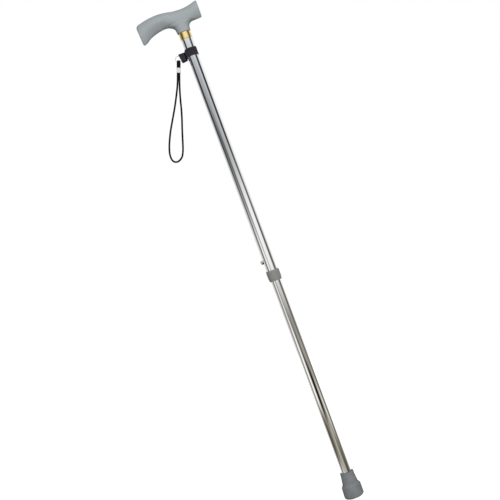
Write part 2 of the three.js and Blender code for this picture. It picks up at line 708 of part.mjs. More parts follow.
// One strand of the doubled cord that bends over the ring's wire, with both ends in the crimp.
function eyeStrand(side) {
  const endDrop = crimpTopDrop + crimpRecess - clearance;
  const x = side * strandOffset;
  const front = [
    new THREE.Vector3(x, -strandOffset, -endDrop),
    new THREE.Vector3(x, -strandOffset, -crimpTopDrop),
    new THREE.Vector3(x, -bendRadius, -bendRadius),
  ];
  const over = arc(0, 0, bendRadius, 180, 0).map(([y, z]) => new THREE.Vector3(x, y, z));
  const back = front.map((point) => new THREE.Vector3(x, -point.y, point.z)).reverse();
  const curve = new THREE.CatmullRomCurve3([...front, ...over, ...back], false, "centripetal");
  return tubeAlong(curve, cordRadius, eyeSteps);
}

// Crimp: an oval sleeve, open at both ends to the cord's strands.
function crimp() {
  const reach = strandOffset + cordRadius + clearance;
  const block = crimpBlock(reach + crimpWall, -crimpBottomDrop, -crimpTopDrop);
  const upperRecess = crimpBlock(reach, -crimpTopDrop - crimpRecess, -crimpTopDrop + overrun);
  const lowerRecess = crimpBlock(reach, -crimpBottomDrop - overrun, -crimpBottomDrop + crimpRecess);
  return toGeometry(toSolid(block).subtract(toSolid(upperRecess)).subtract(toSolid(lowerRecess)));
}

function crimpBlock(halfWidth, bottomZ, topZ) {
  const ring = squaredEllipse(halfWidth, halfWidth, crimpSquareness, holeFacets);
  return skin([bottomZ, topZ].map((z) => ring.map(([x, y]) => new THREE.Vector3(x, y, z))));
}

// Wrist loop: the one free stretch of the cord.
function wristLoop() {
  const points = loopRoute.map(([x, y, z]) => new THREE.Vector3(x, y, z - crimpBottomDrop));
  const curve = new THREE.CatmullRomCurve3(points, false, "centripetal");
  return tubeAlong(curve, cordRadius, loopSteps);
}

// The lower half: ferrule, washer, tube, plug, spring and button.
addPiece(stick, "ferrule", ferrule(), rubber);
addPiece(stick, "ferrule_washer", solidCylinder(lowerOuter, washerZ, washerZ + washerThickness), steel);
addPiece(stick, "lower_tube", lowerTube(), chrome);
addPiece(stick, "lower_tube_cap", tubeCap(), nylon);
addPiece(stick, "button_spring", buttonSpring(), steel);
addPiece(stick, "snap_button", snapButton(), chrome);

// The locking ring and what it squeezes.
addPiece(stick, "locking_ring", lockingRing(), ringPlastic);
addPiece(stick, "collet", collet(), nylon);

// The upper half: tube, collar, handle and the pin that holds it.
addPiece(stick, "upper_tube", upperTube(), chrome);
addPiece(stick, "collar_ring", collarRing(), brass);
addPiece(stick, "handle", handle(), handlePlastic);
addPiece(stick, "handle_pin", rodAlongY(pinDiameter / 2, upperOuter - clearance, pinZ), steel);

// The strap and its closure.
addPiece(stick, "strap_band", strapBand(), webbing);
addPiece(stick, "strap_hook_patch", hookPatch(), webbing);
addPiece(stick, "strap_tail", strapTail(), webbing);

// The split ring and the wrist loop on it hang plumb from the foot of the ring's wire.
const ringCentre = new THREE.Vector3(-splitRingReach, 0, tabZ).applyEuler(stick.rotation);
const hang = new THREE.Group();
hang.position.set(ringCentre.x, ringCentre.y, ringCentre.z - ringRadius);
part.add(hang);
addPiece(hang, "split_ring", splitRing(), steel);
addPiece(hang, "cord_eye_left", eyeStrand(-1), cordBlack);
addPiece(hang, "cord_eye_right", eyeStrand(1), cordBlack);
addPiece(hang, "cord_crimp", crimp(), crimpWhite);
addPiece(hang, "wrist_loop", wristLoop(), cordBlack);

export default part;
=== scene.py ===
# Looks of the telescopic walking stick. Metres, in the row frame: +Z up, the origin at the ferrule's tread.
# The stick leans in the XZ plane. Most pieces are made upright, in the stick's own frame, and leaned as one.
import math

import bmesh
import bpy
import numpy as np
from mathutils import Matrix, Vector

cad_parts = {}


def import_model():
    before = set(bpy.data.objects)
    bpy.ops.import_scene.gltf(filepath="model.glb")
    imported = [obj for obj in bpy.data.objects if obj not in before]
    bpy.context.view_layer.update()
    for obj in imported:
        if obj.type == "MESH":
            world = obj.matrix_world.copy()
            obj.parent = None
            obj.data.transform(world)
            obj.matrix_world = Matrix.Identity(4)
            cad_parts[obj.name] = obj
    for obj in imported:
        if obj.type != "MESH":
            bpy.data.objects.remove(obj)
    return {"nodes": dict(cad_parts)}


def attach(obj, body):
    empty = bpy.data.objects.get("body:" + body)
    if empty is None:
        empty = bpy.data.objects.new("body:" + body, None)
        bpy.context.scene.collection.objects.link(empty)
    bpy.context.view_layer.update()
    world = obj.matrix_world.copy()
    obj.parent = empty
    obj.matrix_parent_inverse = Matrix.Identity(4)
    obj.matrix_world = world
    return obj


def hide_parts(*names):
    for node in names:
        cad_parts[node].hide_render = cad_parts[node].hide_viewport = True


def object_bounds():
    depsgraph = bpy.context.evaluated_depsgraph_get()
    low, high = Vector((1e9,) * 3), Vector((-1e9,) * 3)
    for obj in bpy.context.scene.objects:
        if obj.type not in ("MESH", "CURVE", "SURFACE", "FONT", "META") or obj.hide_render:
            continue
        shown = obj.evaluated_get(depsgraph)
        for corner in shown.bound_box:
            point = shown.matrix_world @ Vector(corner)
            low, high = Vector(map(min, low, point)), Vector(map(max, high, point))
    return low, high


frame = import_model()
CAD_LOW, CAD_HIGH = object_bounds()

# The stick's lean, and the gap that neighbouring pieces keep
LEAN = math.radians(20.25)
STICK = Matrix.Rotation(-LEAN, 4, "Y")
MILLIMETRE = 0.001
GAP = 0.0003
PRESSED_GAP = GAP / 3  # between layers that are pressed together

# Camera: level, in front of the stick
CAMERA_PLACE = (-0.1905, -1.6, 0.4448)
CAMERA_FRAME = 0.905  # width of the view in the stick's plane
SENSOR = 36  # millimetres, as the camera counts it

# Meshes
MERGE_DISTANCE = 1e-7
SURFACE_TOLERANCE = 1e-5

# Tubes and collar
TUBE_WALL = 0.0009
TUBE_FACETS = 160
TUBE_ROW = 0.003
DETENT_PITCH = 0.0254
DETENT_COUNT = 7
COLLAR_TAPER = 0.0004
COLLAR_EDGE = 0.00025

# Button
BUTTON_DIAMETER = 0.0076
BUTTON_DOME = 0.0026
BUTTON_FLANGE = 0.0007
FLANGE_THICKNESS = 0.0008
BUTTON_SHADE_PLACES = (2 * GAP, 8 * GAP)  # out from the tube, where the painted shade is full and where it ends
BUTTON_SHADE_SIDES = (-3 * GAP, GAP)  # the same across the shank

# Handle
HANDLE_REAR = 0.0781
HANDLE_NOSE = 0.0396
HANDLE_HEIGHT = 0.0455
HANDLE_DEPTH = 0.03
HANDLE_ABOVE_NECK = 0.0029
HANDLE_EDGE = 0.0018
HANDLE_SLANT = 0.0026
SLANT_SHARE = 0.25
HANDLE_SQUARENESS = 2
NECK_SQUARENESS = 4  # of its lower half over the neck, so that its side runs down into the neck's
HANDLE_TAPER_SHARE = 0.44  # how much narrower it gets towards its underside
TAPER_POWER = 1.3
TAPER_PLACES = (0.008, 0.036)  # from the neck's axis, where the taper starts and where it is full
NECK_RISE = 0.0174
NECK_FLARE = 0.0085
NECK_INSIDE = 0.008
NECK_OVERHANG = 0.0008
NECK_SHIFT = 0.0004  # towards the rear
STEM_LENGTH = 0.038
STEM_WALL = 0.0034
HANDLE_FACETS = 120
HANDLE_VOXEL = 0.0006
SMOOTH_ROUNDS = 10
# The crease over the neck is smoothed further, in a band given in shares of the neck's rise
CREASE_ROUNDS = 60
CREASE_START_SHARES = (0.35, 0.8)
CREASE_END_SHARES = (1.7, 1.15)
CREASE_ENDS = (0.035, 0.026)  # lengthways

# Outline of the bar: share of the length from the rear end, share of the height
TOP_SHARES = [
    (0, 0.75), (0.03, 0.835), (0.1, 0.889), (0.216, 0.945), (0.338, 0.967), (0.423, 0.957), (0.507, 0.928),
    (0.592, 0.884), (0.676, 0.865), (0.761, 0.861), (0.845, 0.888), (0.93, 0.947), (1, 1),
]
UNDERSIDE_SHARES = [
    (0, 0), (0.02, -0.002), (0.068, 0.04), (0.127, 0.134), (0.169, 0.192), (0.254, 0.264), (0.338, 0.312),
    (0.423, 0.33), (0.656, 0.316), (0.862, 0.276), (0.93, 0.273), (1, 0.285),
]
DEPTH_SHARES = [(0, 0.78), (0.12, 0.88), (0.35, 1), (0.6, 0.95), (0.72, 0.9), (0.88, 0.84), (1, 0.78)]
# Neck: share of the rise, and how far it flares lengthways and across
NECK_LONG_SHARES = [
    (0, 0), (0.22, 0.06), (0.42, 0.12), (0.58, 0.2), (0.7, 0.34), (0.79, 0.55), (0.87, 0.82), (0.94, 1.1),
    (1, 1.4),
]
NECK_ACROSS_SHARES = [(0, 0), (0.22, 0.01), (0.42, 0.02), (0.7, 0.06), (0.87, 0.12), (1, 0.16)]

# Locking ring
LOCK_WALL = 0.0008
LOCK_SWELL = 0.0006
LOCK_FOOT_INSET = 0.0003
LOCK_EDGE = 0.0004
LOCK_FOOT_DROP = 0.0006
LOCK_SHIFT = 0.0002  # within its clearance, as it sits on the tubes
LOCK_RIM = 0.0004
LOCK_FOOT_THICKNESS = 0.0024  # below the cone that presses the collet
BARREL_SHARES = [(0.06, 0), (0.26, 0.84), (0.5, 1), (0.8, 0.98), (0.95, 0.67)]

# Ferrule
MOUTH_WALL = 0.003
SLEEVE_WALL = 0.0049
SHOULDER_WIDTH = 0.0038
TREAD_INSET = 0.004
SHOULDER_Z = 0.0258
SHOULDER_DROP = 0.005
BASE_DRAFT = 0.0004
SHOULDER_EDGE = 0.0006
LIP_HEIGHT = 0.0034
LIP_STEP = 0.0004
BORE_FLOOR = 0.006
MOUTH_EDGE = 0.0011
BORE_EDGE = 0.0006
# The soft foot is worn a little to one side
LEAN_FOOT = -0.001
LEAN_MOUTH = 0.0002
GROOVE_WIDTH = 0.0015
GROOVE_DEPTH = 0.0012
GROOVE_EDGE = 0.0002
GROOVE_ROOT = 0.0003
GROOVE_COUNT = 3

# Strap, which sits a little tighter than the clear space of its solid
STRAP_THICKNESS = 0.00075
STRAP_HALF = STRAP_THICKNESS / 2
STRAP_HEIGHT = 0.0152
STRAP_SEAT = 0.00005
TAB_DROP = 0.0035
TAB_DROP_AT_NECK_SHARE = 0.9
TAB_REACH = 0.0236
TAB_NECK_REACH = 0.0154
STRAP_LEAVE = math.radians(14)
TAB_DROP_REACH = 0.0017
STRAP_STEP = 0.00025
FOLD_SHADE_PLACE = 0.0124  # painted shade in the crease between the band and the tab
FOLD_SHADE_HALF = 0.0019
FOLD_SHADE_SHARE = 0.85
TAB_SKEW = 0.0019  # how much lower the tab's back layer lies than its front
TAB_LIFT = 0.0004
TAB_SHEAR_SHARE = 0.15  # how far the tab's upper corner sticks out, of its height
FACE_POINTS = 56  # across the webbing's face
FLAT_SHARE = 0.9  # of the half thickness, beyond which the ribs stand
RIB_PITCH = 0.0011
RIB_HEIGHT = 0.00009
RIB_POWER = 0.5
WEFT_PITCH = 0.00176
WEFT_SHARE = 0.45  # how far a rib dips where it passes under the weft
PATCH_THICKNESS = 0.0007
PATCH_HALF = math.radians(32)
TAIL_HALF = math.radians(44)
TAIL_RAMP = math.radians(16)

# Split ring
RING_DIAMETER = 0.0116
WIRE_RADIAL = 0.0009
WIRE_AXIAL = 0.0008
WIRE_LIFT = 0.00095
WIRE_SQUARENESS = 4
RING_REACH = 0.0265
RING_OPEN = math.radians(26)
RING_STEP = math.radians(40)

# Cord of the wrist loop and its crimp
CORD_DIAMETER = 0.0031
CORD_BULK = 0.00009  # how much further the soft braid stands out than its measured radius
CORD_STEP = 0.00035
BRAID_HEIGHT = 0.00011
BRAID_PITCH = 0.0072
BRAID_STRANDS = 6
BRAID_MIDDLE_SHARE = 0.4  # of a strand's height, at the cord's mean radius
BRAID_POWER = 0.6
CRIMP_HEIGHT = 0.009
CRIMP_HALF = 0.0035
CRIMP_WAIST = 0.0033
CRIMP_LIP = 0.00025
CRIMP_RECESS = 0.002
CRIMP_SQUARENESS = 4
CRIMP_CORE = 0.0005
CRIMP_WAIST_SHARES = (0.35, 0.9)
CRIMP_EDGE_SHARE = 0.04
EYE_LENGTH = 0.0146
EYE_PINCH = 0.0004  # how much thinner the pull makes it over the ring
# The cord's route in millimetres, from the middle of the crimp's lower face
LOOP_ROUTE = [
    (-1.65, -1.65, 1.7), (-1.65, -1.65, -4), (-1.7, -1.7, -12), (-2, -1.8, -21), (-2.8, -2.2, -31),
    (-4.4, -2.7, -45), (-6.4, -3.1, -60), (-8.9, -3.3, -75), (-11.8, -3.3, -91), (-14.4, -3, -106),
    (-16, -2.3, -121), (-16.7, -1.4, -134), (-16.2, -0.5, -145), (-14, 0.3, -153.3), (-10.6, 0.8, -158.8),
    (-6, 1.2, -160.9), (-1.2, 1.5, -160.1), (3.1, 1.8, -156.4), (6.2, 2, -151), (7.6, 2.3, -142),
    (7.5, 2.5, -130), (6.8, 2.6, -115), (6.2, 2.4, -99), (5.8, 1.9, -82), (4.8, 1.1, -65), (3.5, 0.2, -51),
    (2.6, -0.6, -39), (2, -1.1, -28), (1.7, -1.5, -17), (1.65, -1.65, -8), (1.65, -1.65, 1.7),
]

# Materials: where most of a noise's values lie, and how deep each surface's relief is, in micrometres
NOISE_LOW = 0.3
NOISE_HIGH = 0.7
RELIEF = {
    "handle_plastic": 20, "chrome": 3, "button_steel": 6, "gold_plate": 4, "ring_plastic": 40,
    "ferrule_rubber": 60, "webbing": 40, "cord": 30, "crimp_plastic": 20, "ring_wire": 10, "nylon": 30,
    "steel": 10,
}


# Places read from the frame

def stick_box(node):
    """Lowest and highest corner of a CAD node in the stick's own upright frame."""
    points = np.array([STICK.inverted() @ v.co for v in frame["nodes"][node].data.vertices])
    return Vector(points.min(axis=0)), Vector(points.max(axis=0))


UPPER_LOW, UPPER_HIGH = stick_box("upper_tube")
LOWER_LOW, LOWER_HIGH = stick_box("lower_tube")
LOCK_LOW, LOCK_HIGH = stick_box("locking_ring")
FERRULE_HIGH = stick_box("ferrule")[1]
COLLAR_LOW, COLLAR_HIGH = stick_box("collar_ring")
BUTTON_LOW, BUTTON_HIGH = stick_box("snap_button")
STRAP_LOW, STRAP_HIGH = stick_box("strap_tail")
UPPER_OUTER = UPPER_HIGH.x
LOWER_OUTER = LOWER_HIGH.x
COLLAR_OUTER = COLLAR_HIGH.x
NECK_Z = UPPER_HIGH.z + GAP
BUTTON_Z = (BUTTON_LOW.z + BUTTON_HIGH.z) / 2
STRAP_Z = (STRAP_LOW.z + STRAP_HIGH.z) / 2
TAB_Z = STRAP_Z - TAB_DROP
RING_CENTRE = STICK @ Vector((-RING_REACH, 0, TAB_Z))
HANG = RING_CENTRE - Vector((0, 0, RING_DIAMETER / 2))
CORD_RADIUS = CORD_DIAMETER / 2
STRAND_OFFSET = CORD_RADIUS + GAP / 2
WIRE_STACK_HALF = (WIRE_LIFT + WIRE_AXIAL) / 2
RING_RADIUS = RING_DIAMETER / 2
WIRE_RISE = RING_RADIUS - math.sqrt(RING_RADIUS**2 - STRAND_OFFSET**2)  # from the lowest point to a strand
BEND_RADIUS = WIRE_STACK_HALF + WIRE_RISE + GAP + CORD_RADIUS
CRIMP_TOP_DROP = EYE_LENGTH - BEND_RADIUS - CORD_RADIUS
CRIMP_BOTTOM_DROP = CRIMP_TOP_DROP + CRIMP_HEIGHT


def placed(name, data):
    thing = bpy.data.objects.new(name, data)
    bpy.context.scene.collection.objects.link(thing)
    return thing


# Camera

def add_camera():
    data = bpy.data.cameras.new("camera")
    data.sensor_width = SENSOR
    data.lens = SENSOR * abs(CAMERA_PLACE[1]) / CAMERA_FRAME
    camera = placed("camera", data)
    camera.location = CAMERA_PLACE
    camera.rotation_euler = (math.pi / 2, 0, 0)
    bpy.context.scene.camera = camera


# Curves and meshes

def spline(points, steps=12):
    """A smooth line through points, as an array."""
    points = np.array(points, float)
    padded = np.vstack([points[:1], points, points[-1:]])
    line = []
    for i in range(len(points) - 1):
        before, start, end, after = padded[i : i + 4]
        for t in np.arange(steps) / steps:
            pull_in, pull_out = (end - before) / 2, (after - start) / 2
            cubic = 2 * start - 2 * end + pull_in + pull_out
            square = -3 * start + 3 * end - 2 * pull_in - pull_out
            line.append(cubic * t**3 + square * t**2 + pull_in * t + start)
    line.append(points[-1])
    return np.array(line)


def value_at(shares, share):
    line = spline(shares)
    return np.interp(share, line[:, 0], line[:, 1])


def centripetal(points, steps=24):
    """A smooth line in space that doesn't overshoot where its points lie close."""
    points = np.array(points, float)
    first, last = 2 * points[0] - points[1], 2 * points[-1] - points[-2]
    padded = np.vstack([first, points, last])
    line = []
    for i in range(len(points) - 1):
        p = padded[i : i + 4]
        knots = along(p, 0.5)
        for t in np.linspace(knots[1], knots[2], steps, endpoint=False):
            near = [mix(p[k], p[k + 1], (t - knots[k]) / (knots[k + 1] - knots[k])) for k in range(3)]
            far = [mix(near[k], near[k + 1], (t - knots[k]) / (knots[k + 2] - knots[k])) for k in range(2)]
            line.append(mix(*far, (t - knots[1]) / (knots[2] - knots[1])))
    line.append(points[-1])
    return np.array(line)


def mix(a, b, share):
    return a + (b - a) * share


def smoothstep(value, low, high):
    share = np.clip((value - low) / (high - low), 0, 1)
    return share * share * (3 - 2 * share)


def along(line, power=1):
    """How far along a line each of its points lies, with each step raised to a power."""
    return np.concatenate([[0], np.cumsum(np.linalg.norm(np.diff(line, axis=0), axis=1) ** power)])


def evenly(line, step, closed=False):
    """The same line with its points an even step apart."""
    if closed:
        line = np.vstack([line, line[:1]])
    reaches = along(line)
    count = max(int(round(reaches[-1] / step)), 2)
    places = np.linspace(0, reaches[-1], count + 1)
    if closed:
        places = places[:-1]
    return np.column_stack([np.interp(places, reaches, line[:, i]) for i in range(line.shape[1])])


def arc(centre_x, centre_y, radius, start, end, steps):
    angles = np.linspace(start, end, steps + 1)
    return np.column_stack([centre_x + radius * np.cos(angles), centre_y + radius * np.sin(angles)])


def circle(radius, steps):
    return arc(0, 0, radius, 0, math.tau, steps)[:-1]


def at_height(points, z):
    """Points of (x, y) with their height."""
    return np.column_stack([points, np.full(len(points), z)])


def on_wheel(section, radius, angle, centre):
    """A section of (outwards, sideways) at an angle of a wheel that turns round the Y direction."""
    reach = radius + section[:, 0]
    ring = np.column_stack([reach * math.cos(angle), section[:, 1], reach * math.sin(angle)])
    return ring + np.array(centre)


def filleted(corners, steps=6):
    """Rounds the corners of a profile of (radius, z) or (radius, z, fillet)."""
    points = []
    for i, corner in enumerate(corners):
        here = np.array(corner[:2], float)
        fillet = corner[2] if len(corner) > 2 else 0
        if fillet == 0:
            points.append(here)
            continue
        back = np.array(corners[i - 1][:2], float) - here
        ahead = np.array(corners[(i + 1) % len(corners)][:2], float) - here
        back /= np.linalg.norm(back)
        ahead /= np.linalg.norm(ahead)
        half = math.acos(np.clip(back @ ahead, -1, 1)) / 2
        reach = fillet / math.tan(half)
        start, end = here + back * reach, here + ahead * reach
        for t in np.linspace(0, 1, steps + 1):
            points.append(mix(mix(start, here, t), mix(here, end, t), t))
    return points


def new_object(name, vertices, faces, smooth_angle=35):
    mesh = bpy.data.meshes.new(name)
    mesh.from_pydata([tuple(v) for v in vertices], [], faces)
    tidy = bmesh.new()
    tidy.from_mesh(mesh)
    bmesh.ops.remove_doubles(tidy, verts=tidy.verts, dist=MERGE_DISTANCE)
    bmesh.ops.recalc_face_normals(tidy, faces=tidy.faces)
    tidy.to_mesh(mesh)
    tidy.free()
    shade(mesh, smooth_angle)
    return placed(name, mesh)


def shade(mesh, smooth_angle):
    mesh.shade_smooth()
    mesh.set_sharp_from_angle(angle=math.radians(smooth_angle))


def skin(name, rings, closed=False, smooth_angle=35):
    """Joins a row of rings of equal counts, closed on itself or capped at its ends."""
    rings = np.array(rings, float)
    rows, around = rings.shape[:2]
    faces = []
    for i in range(rows if closed else rows - 1):
        here, there = i * around, ((i + 1) % rows) * around
        for k in range(around):
            n = (k + 1) % around
            faces.append((here + k, here + n, there + n, there + k))
    if not closed:
        faces.append(tuple(range(around)))
        faces.append(tuple(range((rows - 1) * around, rows * around)))
    return new_object(name, rings.reshape(-1, 3), faces, smooth_angle)


def lathe(name, profile, facets=144, smooth_angle=35):
    """Revolves a closed profile of (radius, z) round the stick's axis."""
    rings = [at_height(circle(radius, facets), z) for radius, z in profile]
    return skin(name, rings, closed=True, smooth_angle=smooth_angle)


def points_of(thing):
    points = np.empty(len(thing.data.vertices) * 3)
    thing.data.vertices.foreach_get("co", points)
    return points.reshape(-1, 3)


def move_points(thing, points):
    thing.data.vertices.foreach_set("co", points.ravel())
    thing.data.update()


def apply_modifiers(thing):
    bpy.context.view_layer.objects.active = thing
    for modifier in list(thing.modifiers):
        bpy.ops.object.modifier_apply(modifier=modifier.name)


def cut(thing, cutters):
    """Takes the cutters out of a piece, and removes them."""
    for cutter in cutters:
        modifier = thing.modifiers.new("cut", "BOOLEAN")
        modifier.operation = "DIFFERENCE"
        modifier.solver = "EXACT"
        modifier.object = cutter
    apply_modifiers(thing)
    for cutter in cutters:
        bpy.data.objects.remove(cutter, do_unlink=True)


def paint(thing, look):
    thing.data.materials.clear()
    thing.data.materials.append(look)


def dress(thing, look, body, slot, *nodes):
    """Gives a piece its material and body, and hides the CAD nodes that it stands for. The slot is not used.
    """
    paint(thing, look)
    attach(thing, body)
    if nodes:
        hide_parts(*nodes)


def leaned(thing):
    thing.matrix_world = STICK
    return thing


# Materials

class Nodes:
    """A node tree, with short ways to add to it."""

    def __init__(self, tree):
        self.tree = tree

    def add(self, kind, inputs=None, **settings):
        node = self.tree.nodes.new(kind)
        for name, value in settings.items():
            setattr(node, name, value)
        for name, value in (inputs or {}).items():
            self.join(value, node.inputs[name])
        return node

    def join(self, value, socket):
        if isinstance(value, bpy.types.NodeSocket):
            self.tree.links.new(value, socket)
        else:
            socket.default_value = value

    def math(self, operation, a, b=0.0):
        return self.add("ShaderNodeMath", {0: a, 1: b}, operation=operation).outputs[0]

    def product(self, a, b):
        return self.math("MULTIPLY", a, b)

    def rest(self, share):
        """What a share leaves of the whole."""
        return self.math("SUBTRACT", 1.0, share)

    def spread(self, value, low=0, high=1, from_low=NOISE_LOW, from_high=NOISE_HIGH):
        inputs = {"Value": value, "From Min": from_low, "From Max": from_high, "To Min": low, "To Max": high}
        return self.add("ShaderNodeMapRange", inputs).outputs[0]

    def blend(self, share, a, b):
        node = self.add("ShaderNodeMix", {0: share}, data_type="RGBA")
        for value, socket in ((a, node.inputs[6]), (b, node.inputs[7])):
            self.join(value if isinstance(value, bpy.types.NodeSocket) else (*value, 1), socket)
        return node.outputs[2]


class Look(Nodes):
    """A material with one shader, and short ways to say what varies over its surface."""

    def __init__(self, name, color, roughness, metallic=0.0):
        self.name = name
        self.material = bpy.data.materials.new(name)
        self.material.use_nodes = True
        super().__init__(self.material.node_tree)
        self.set("Base Color", (*color, 1))
        self.set("Roughness", roughness)
        self.set("Metallic", metallic)
        self.place = self.add("ShaderNodeTexCoord").outputs["Object"]

    def set(self, name, value):
        self.join(value, self.tree.nodes["Principled BSDF"].inputs[name])

    def noise(self, scale, detail, stretch=(1, 1, 1)):
        place = self.add("ShaderNodeMapping", {"Vector": self.place, "Scale": stretch}).outputs[0]
        return self.add("ShaderNodeTexNoise", {"Vector": place, "Scale": scale, "Detail": detail}).outputs[0]

    def attribute(self, name):
        return self.add("ShaderNodeAttribute", attribute_name=name).outputs["Fac"]

    def between(self, noise, low, high):
        """A colour that the noise varies from low to high."""
        return self.blend(self.spread(noise), low, high)

    def color(self, noise, low, high):
        self.set("Base Color", self.between(noise, low, high))

    def roughness(self, noise, low, high):
        self.set("Roughness", self.spread(noise, low, high))

    def wear(self, noise, low, high, smooth, rough):
        """Colour and roughness that vary together."""
        self.color(noise, low, high)
        self.roughness(noise, smooth, rough)

    def bump(self, height, strength):
        inputs = {"Height": height, "Distance": RELIEF[self.name] * 1e-6, "Strength": strength}
        self.set("Normal", self.add("ShaderNodeBump", inputs).outputs[0])


def handle_look():
    look = Look("handle_plastic", (0.3, 0.326, 0.333), 0.52)
    look.set("Specular IOR Level", 0.06)
    look.color(look.noise(38, 4), (0.288, 0.314, 0.321), (0.31, 0.336, 0.343))
    look.roughness(look.noise(160, 3), 0.48, 0.56)
    look.bump(look.noise(2600, 2), 0.35)
    return look.material


def chrome_look():
    look = Look("chrome", (0.86, 0.865, 0.87), 0.04, 1.0)
    look.color(look.noise(60, 3, (1, 1, 0.15)), (0.83, 0.835, 0.84), (0.88, 0.885, 0.89))
    drawn = look.noise(900, 3, (1, 1, 0.02))
    look.roughness(drawn, 0.025, 0.055)
    look.bump(drawn, 0.25)
    return look.material


def button_look():
    """Bright on its dome, with painted shade, near black, under its shank where it comes out of the hole."""
    look = Look("button_steel", (0.68, 0.68, 0.675), 0.08, 1.0)
    worn = look.noise(700, 3)
    steel = look.between(worn, (0.6, 0.6, 0.595), (0.72, 0.72, 0.715))
    hole = BUTTON_HIGH.x + UPPER_OUTER
    place = look.add("ShaderNodeSeparateXYZ", {0: look.place}).outputs
    # painted shade: near black on the shank's underside close to the tube, as shade in the hole
    out = look.spread(place["Z"], 1, 0, *[hole + reach for reach in BUTTON_SHADE_PLACES])
    under = look.spread(place["X"], 1, 0, *BUTTON_SHADE_SIDES)
    look.set("Base Color", look.blend(look.product(out, under), steel, (0.02, 0.02, 0.019)))
    look.roughness(worn, 0.05, 0.11)
    look.bump(look.noise(2500, 2), 0.3)
    return look.material


def gold_look():
    look = Look("gold_plate", (0.92, 0.77, 0.37), 0.08, 1.0)
    look.wear(look.noise(420, 3, (1, 1, 0.2)), (0.9, 0.75, 0.34), (0.96, 0.81, 0.41), 0.06, 0.11)
    look.bump(look.noise(1500, 2, (1, 1, 0.05)), 0.3)
    return look.material


def ring_plastic_look():
    look = Look("ring_plastic", (0.235, 0.238, 0.222), 0.5)
    look.color(look.noise(120, 5), (0.204, 0.207, 0.193), (0.241, 0.244, 0.228))
    look.roughness(look.noise(400, 2), 0.45, 0.58)
    look.bump(look.noise(1800, 3), 0.4)
    return look.material


def rubber_look():
    """Clouded, with specks of pale dust."""
    look = Look("ferrule_rubber", (0.2, 0.212, 0.22), 0.72)
    cloud = look.noise(90, 5)
    dust = look.spread(look.noise(700, 4), 0, 1, 0.62, 0.75)
    rubber = look.between(cloud, (0.17, 0.182, 0.19), (0.225, 0.236, 0.242))
    look.set("Base Color", look.blend(dust, rubber, (0.32, 0.325, 0.325)))
    look.roughness(cloud, 0.66, 0.8)
    look.bump(look.noise(1400, 4), 0.5)
    return look.material


def webbing_look():
    """Darker between its ribs, paler where it is worn, and painted near black, as shade, in the crease at
    the tab.
    """
    look = Look("webbing", (0.021, 0.0185, 0.026), 0.9)
    look.set("Sheen Roughness", 0.5)
    worn = look.spread(look.noise(260, 4))
    yarn = look.blend(look.attribute("ridge"), (0.008, 0.007, 0.01), (0.031, 0.027, 0.038))
    yarn = look.blend(look.product(worn, 0.5), yarn, (0.036, 0.032, 0.043))
    # painted shade: the crease at the tab is drawn near black and loses its gloss and sheen
    fold = look.attribute("fold")
    look.set("Base Color", look.blend(fold, yarn, (0.0015, 0.0012, 0.002)))
    look.set("Specular IOR Level", look.spread(fold, 0.2, 0.03, 0, 1))
    look.set("Sheen Weight", look.spread(fold, 0.12, 0, 0, 1))
    look.bump(look.noise(6000, 2), 0.5)
    return look.material


def cord_look():
    look = Look("cord", (0.008, 0.008, 0.0085), 0.85)
    look.set("Specular IOR Level", 0.15)
    fuzz = look.spread(look.noise(500, 4))
    yarn = look.blend(look.attribute("ridge"), (0.002, 0.002, 0.0022), (0.0075, 0.0075, 0.008))
    look.set("Base Color", look.blend(look.product(fuzz, 0.4), yarn, (0.012, 0.012, 0.0125)))
    look.bump(look.noise(7000, 2), 0.5)
    return look.material


def crimp_look():
    look = Look("crimp_plastic", (0.58, 0.585, 0.585), 0.4)
    look.wear(look.noise(300, 3), (0.54, 0.545, 0.545), (0.63, 0.635, 0.635), 0.3, 0.42)
    look.bump(look.noise(900, 2), 0.4)
    return look.material


def wire_look():
    look = Look("ring_wire", (0.78, 0.78, 0.77), 0.22, 1.0)
    worn = look.noise(900, 3)
    look.wear(worn, (0.7, 0.7, 0.69), (0.84, 0.84, 0.83), 0.16, 0.3)
    look.bump(worn, 0.4)
    return look.material


def nylon_look():
    look = Look("nylon", (0.035, 0.037, 0.042), 0.5)
    look.wear(look.noise(200, 3), (0.03, 0.032, 0.036), (0.045, 0.047, 0.053), 0.42, 0.58)
    look.bump(look.noise(1500, 2), 0.4)
    return look.material


def steel_look():
    look = Look("steel", (0.56, 0.56, 0.55), 0.32, 1.0)
    look.wear(look.noise(500, 4), (0.5, 0.5, 0.49), (0.62, 0.62, 0.61), 0.26, 0.42)
    look.bump(look.noise(2500, 2), 0.4)
    return look.material


# Cord pieces

def swept(name, line, radius, facets=36):
    """A braided cord along an evenly stepped line: a tube whose surface carries the crossing strands."""
    tangents = np.gradient(line, axis=0)
    tangents /= np.linalg.norm(tangents, axis=1)[:, None]
    side = np.cross(tangents[0], (0, 1, 0))
    around = circle(1, facets)
    rings, ridges = [], []
    radii = np.broadcast_to(radius, len(line))
    for point, tangent, place, thick in zip(line, tangents, along(line), radii):
        side = side - tangent * (side @ tangent)
        side /= np.linalg.norm(side)
        up = np.cross(tangent, side)
        ridge = braid(np.arange(facets) / facets, place)
        reach = (thick + CORD_BULK + BRAID_HEIGHT * (ridge - BRAID_MIDDLE_SHARE))[:, None]
        rings.append(point + reach * (around @ (side, up)))
        ridges.append(ridge)
    thing = skin(name, rings, smooth_angle=60)
    store(thing, "ridge", np.concatenate(ridges))
    return thing


def braid(turns, place):
    """Height of a round braid, from 0 in the dips to 1 on the strands, round the cord at one place."""
    right = (turns + place / BRAID_PITCH) * BRAID_STRANDS
    left = (turns - place / BRAID_PITCH) * BRAID_STRANDS
    over = 0.5 + 0.5 * np.sin(math.pi * (right + left)) * np.sin(math.pi * (right - left))
    ridge_right = np.abs(np.cos(math.pi * right)) ** BRAID_POWER
    ridge_left = np.abs(np.cos(math.pi * left)) ** BRAID_POWER
    return over * ridge_right + (1 - over) * ridge_left


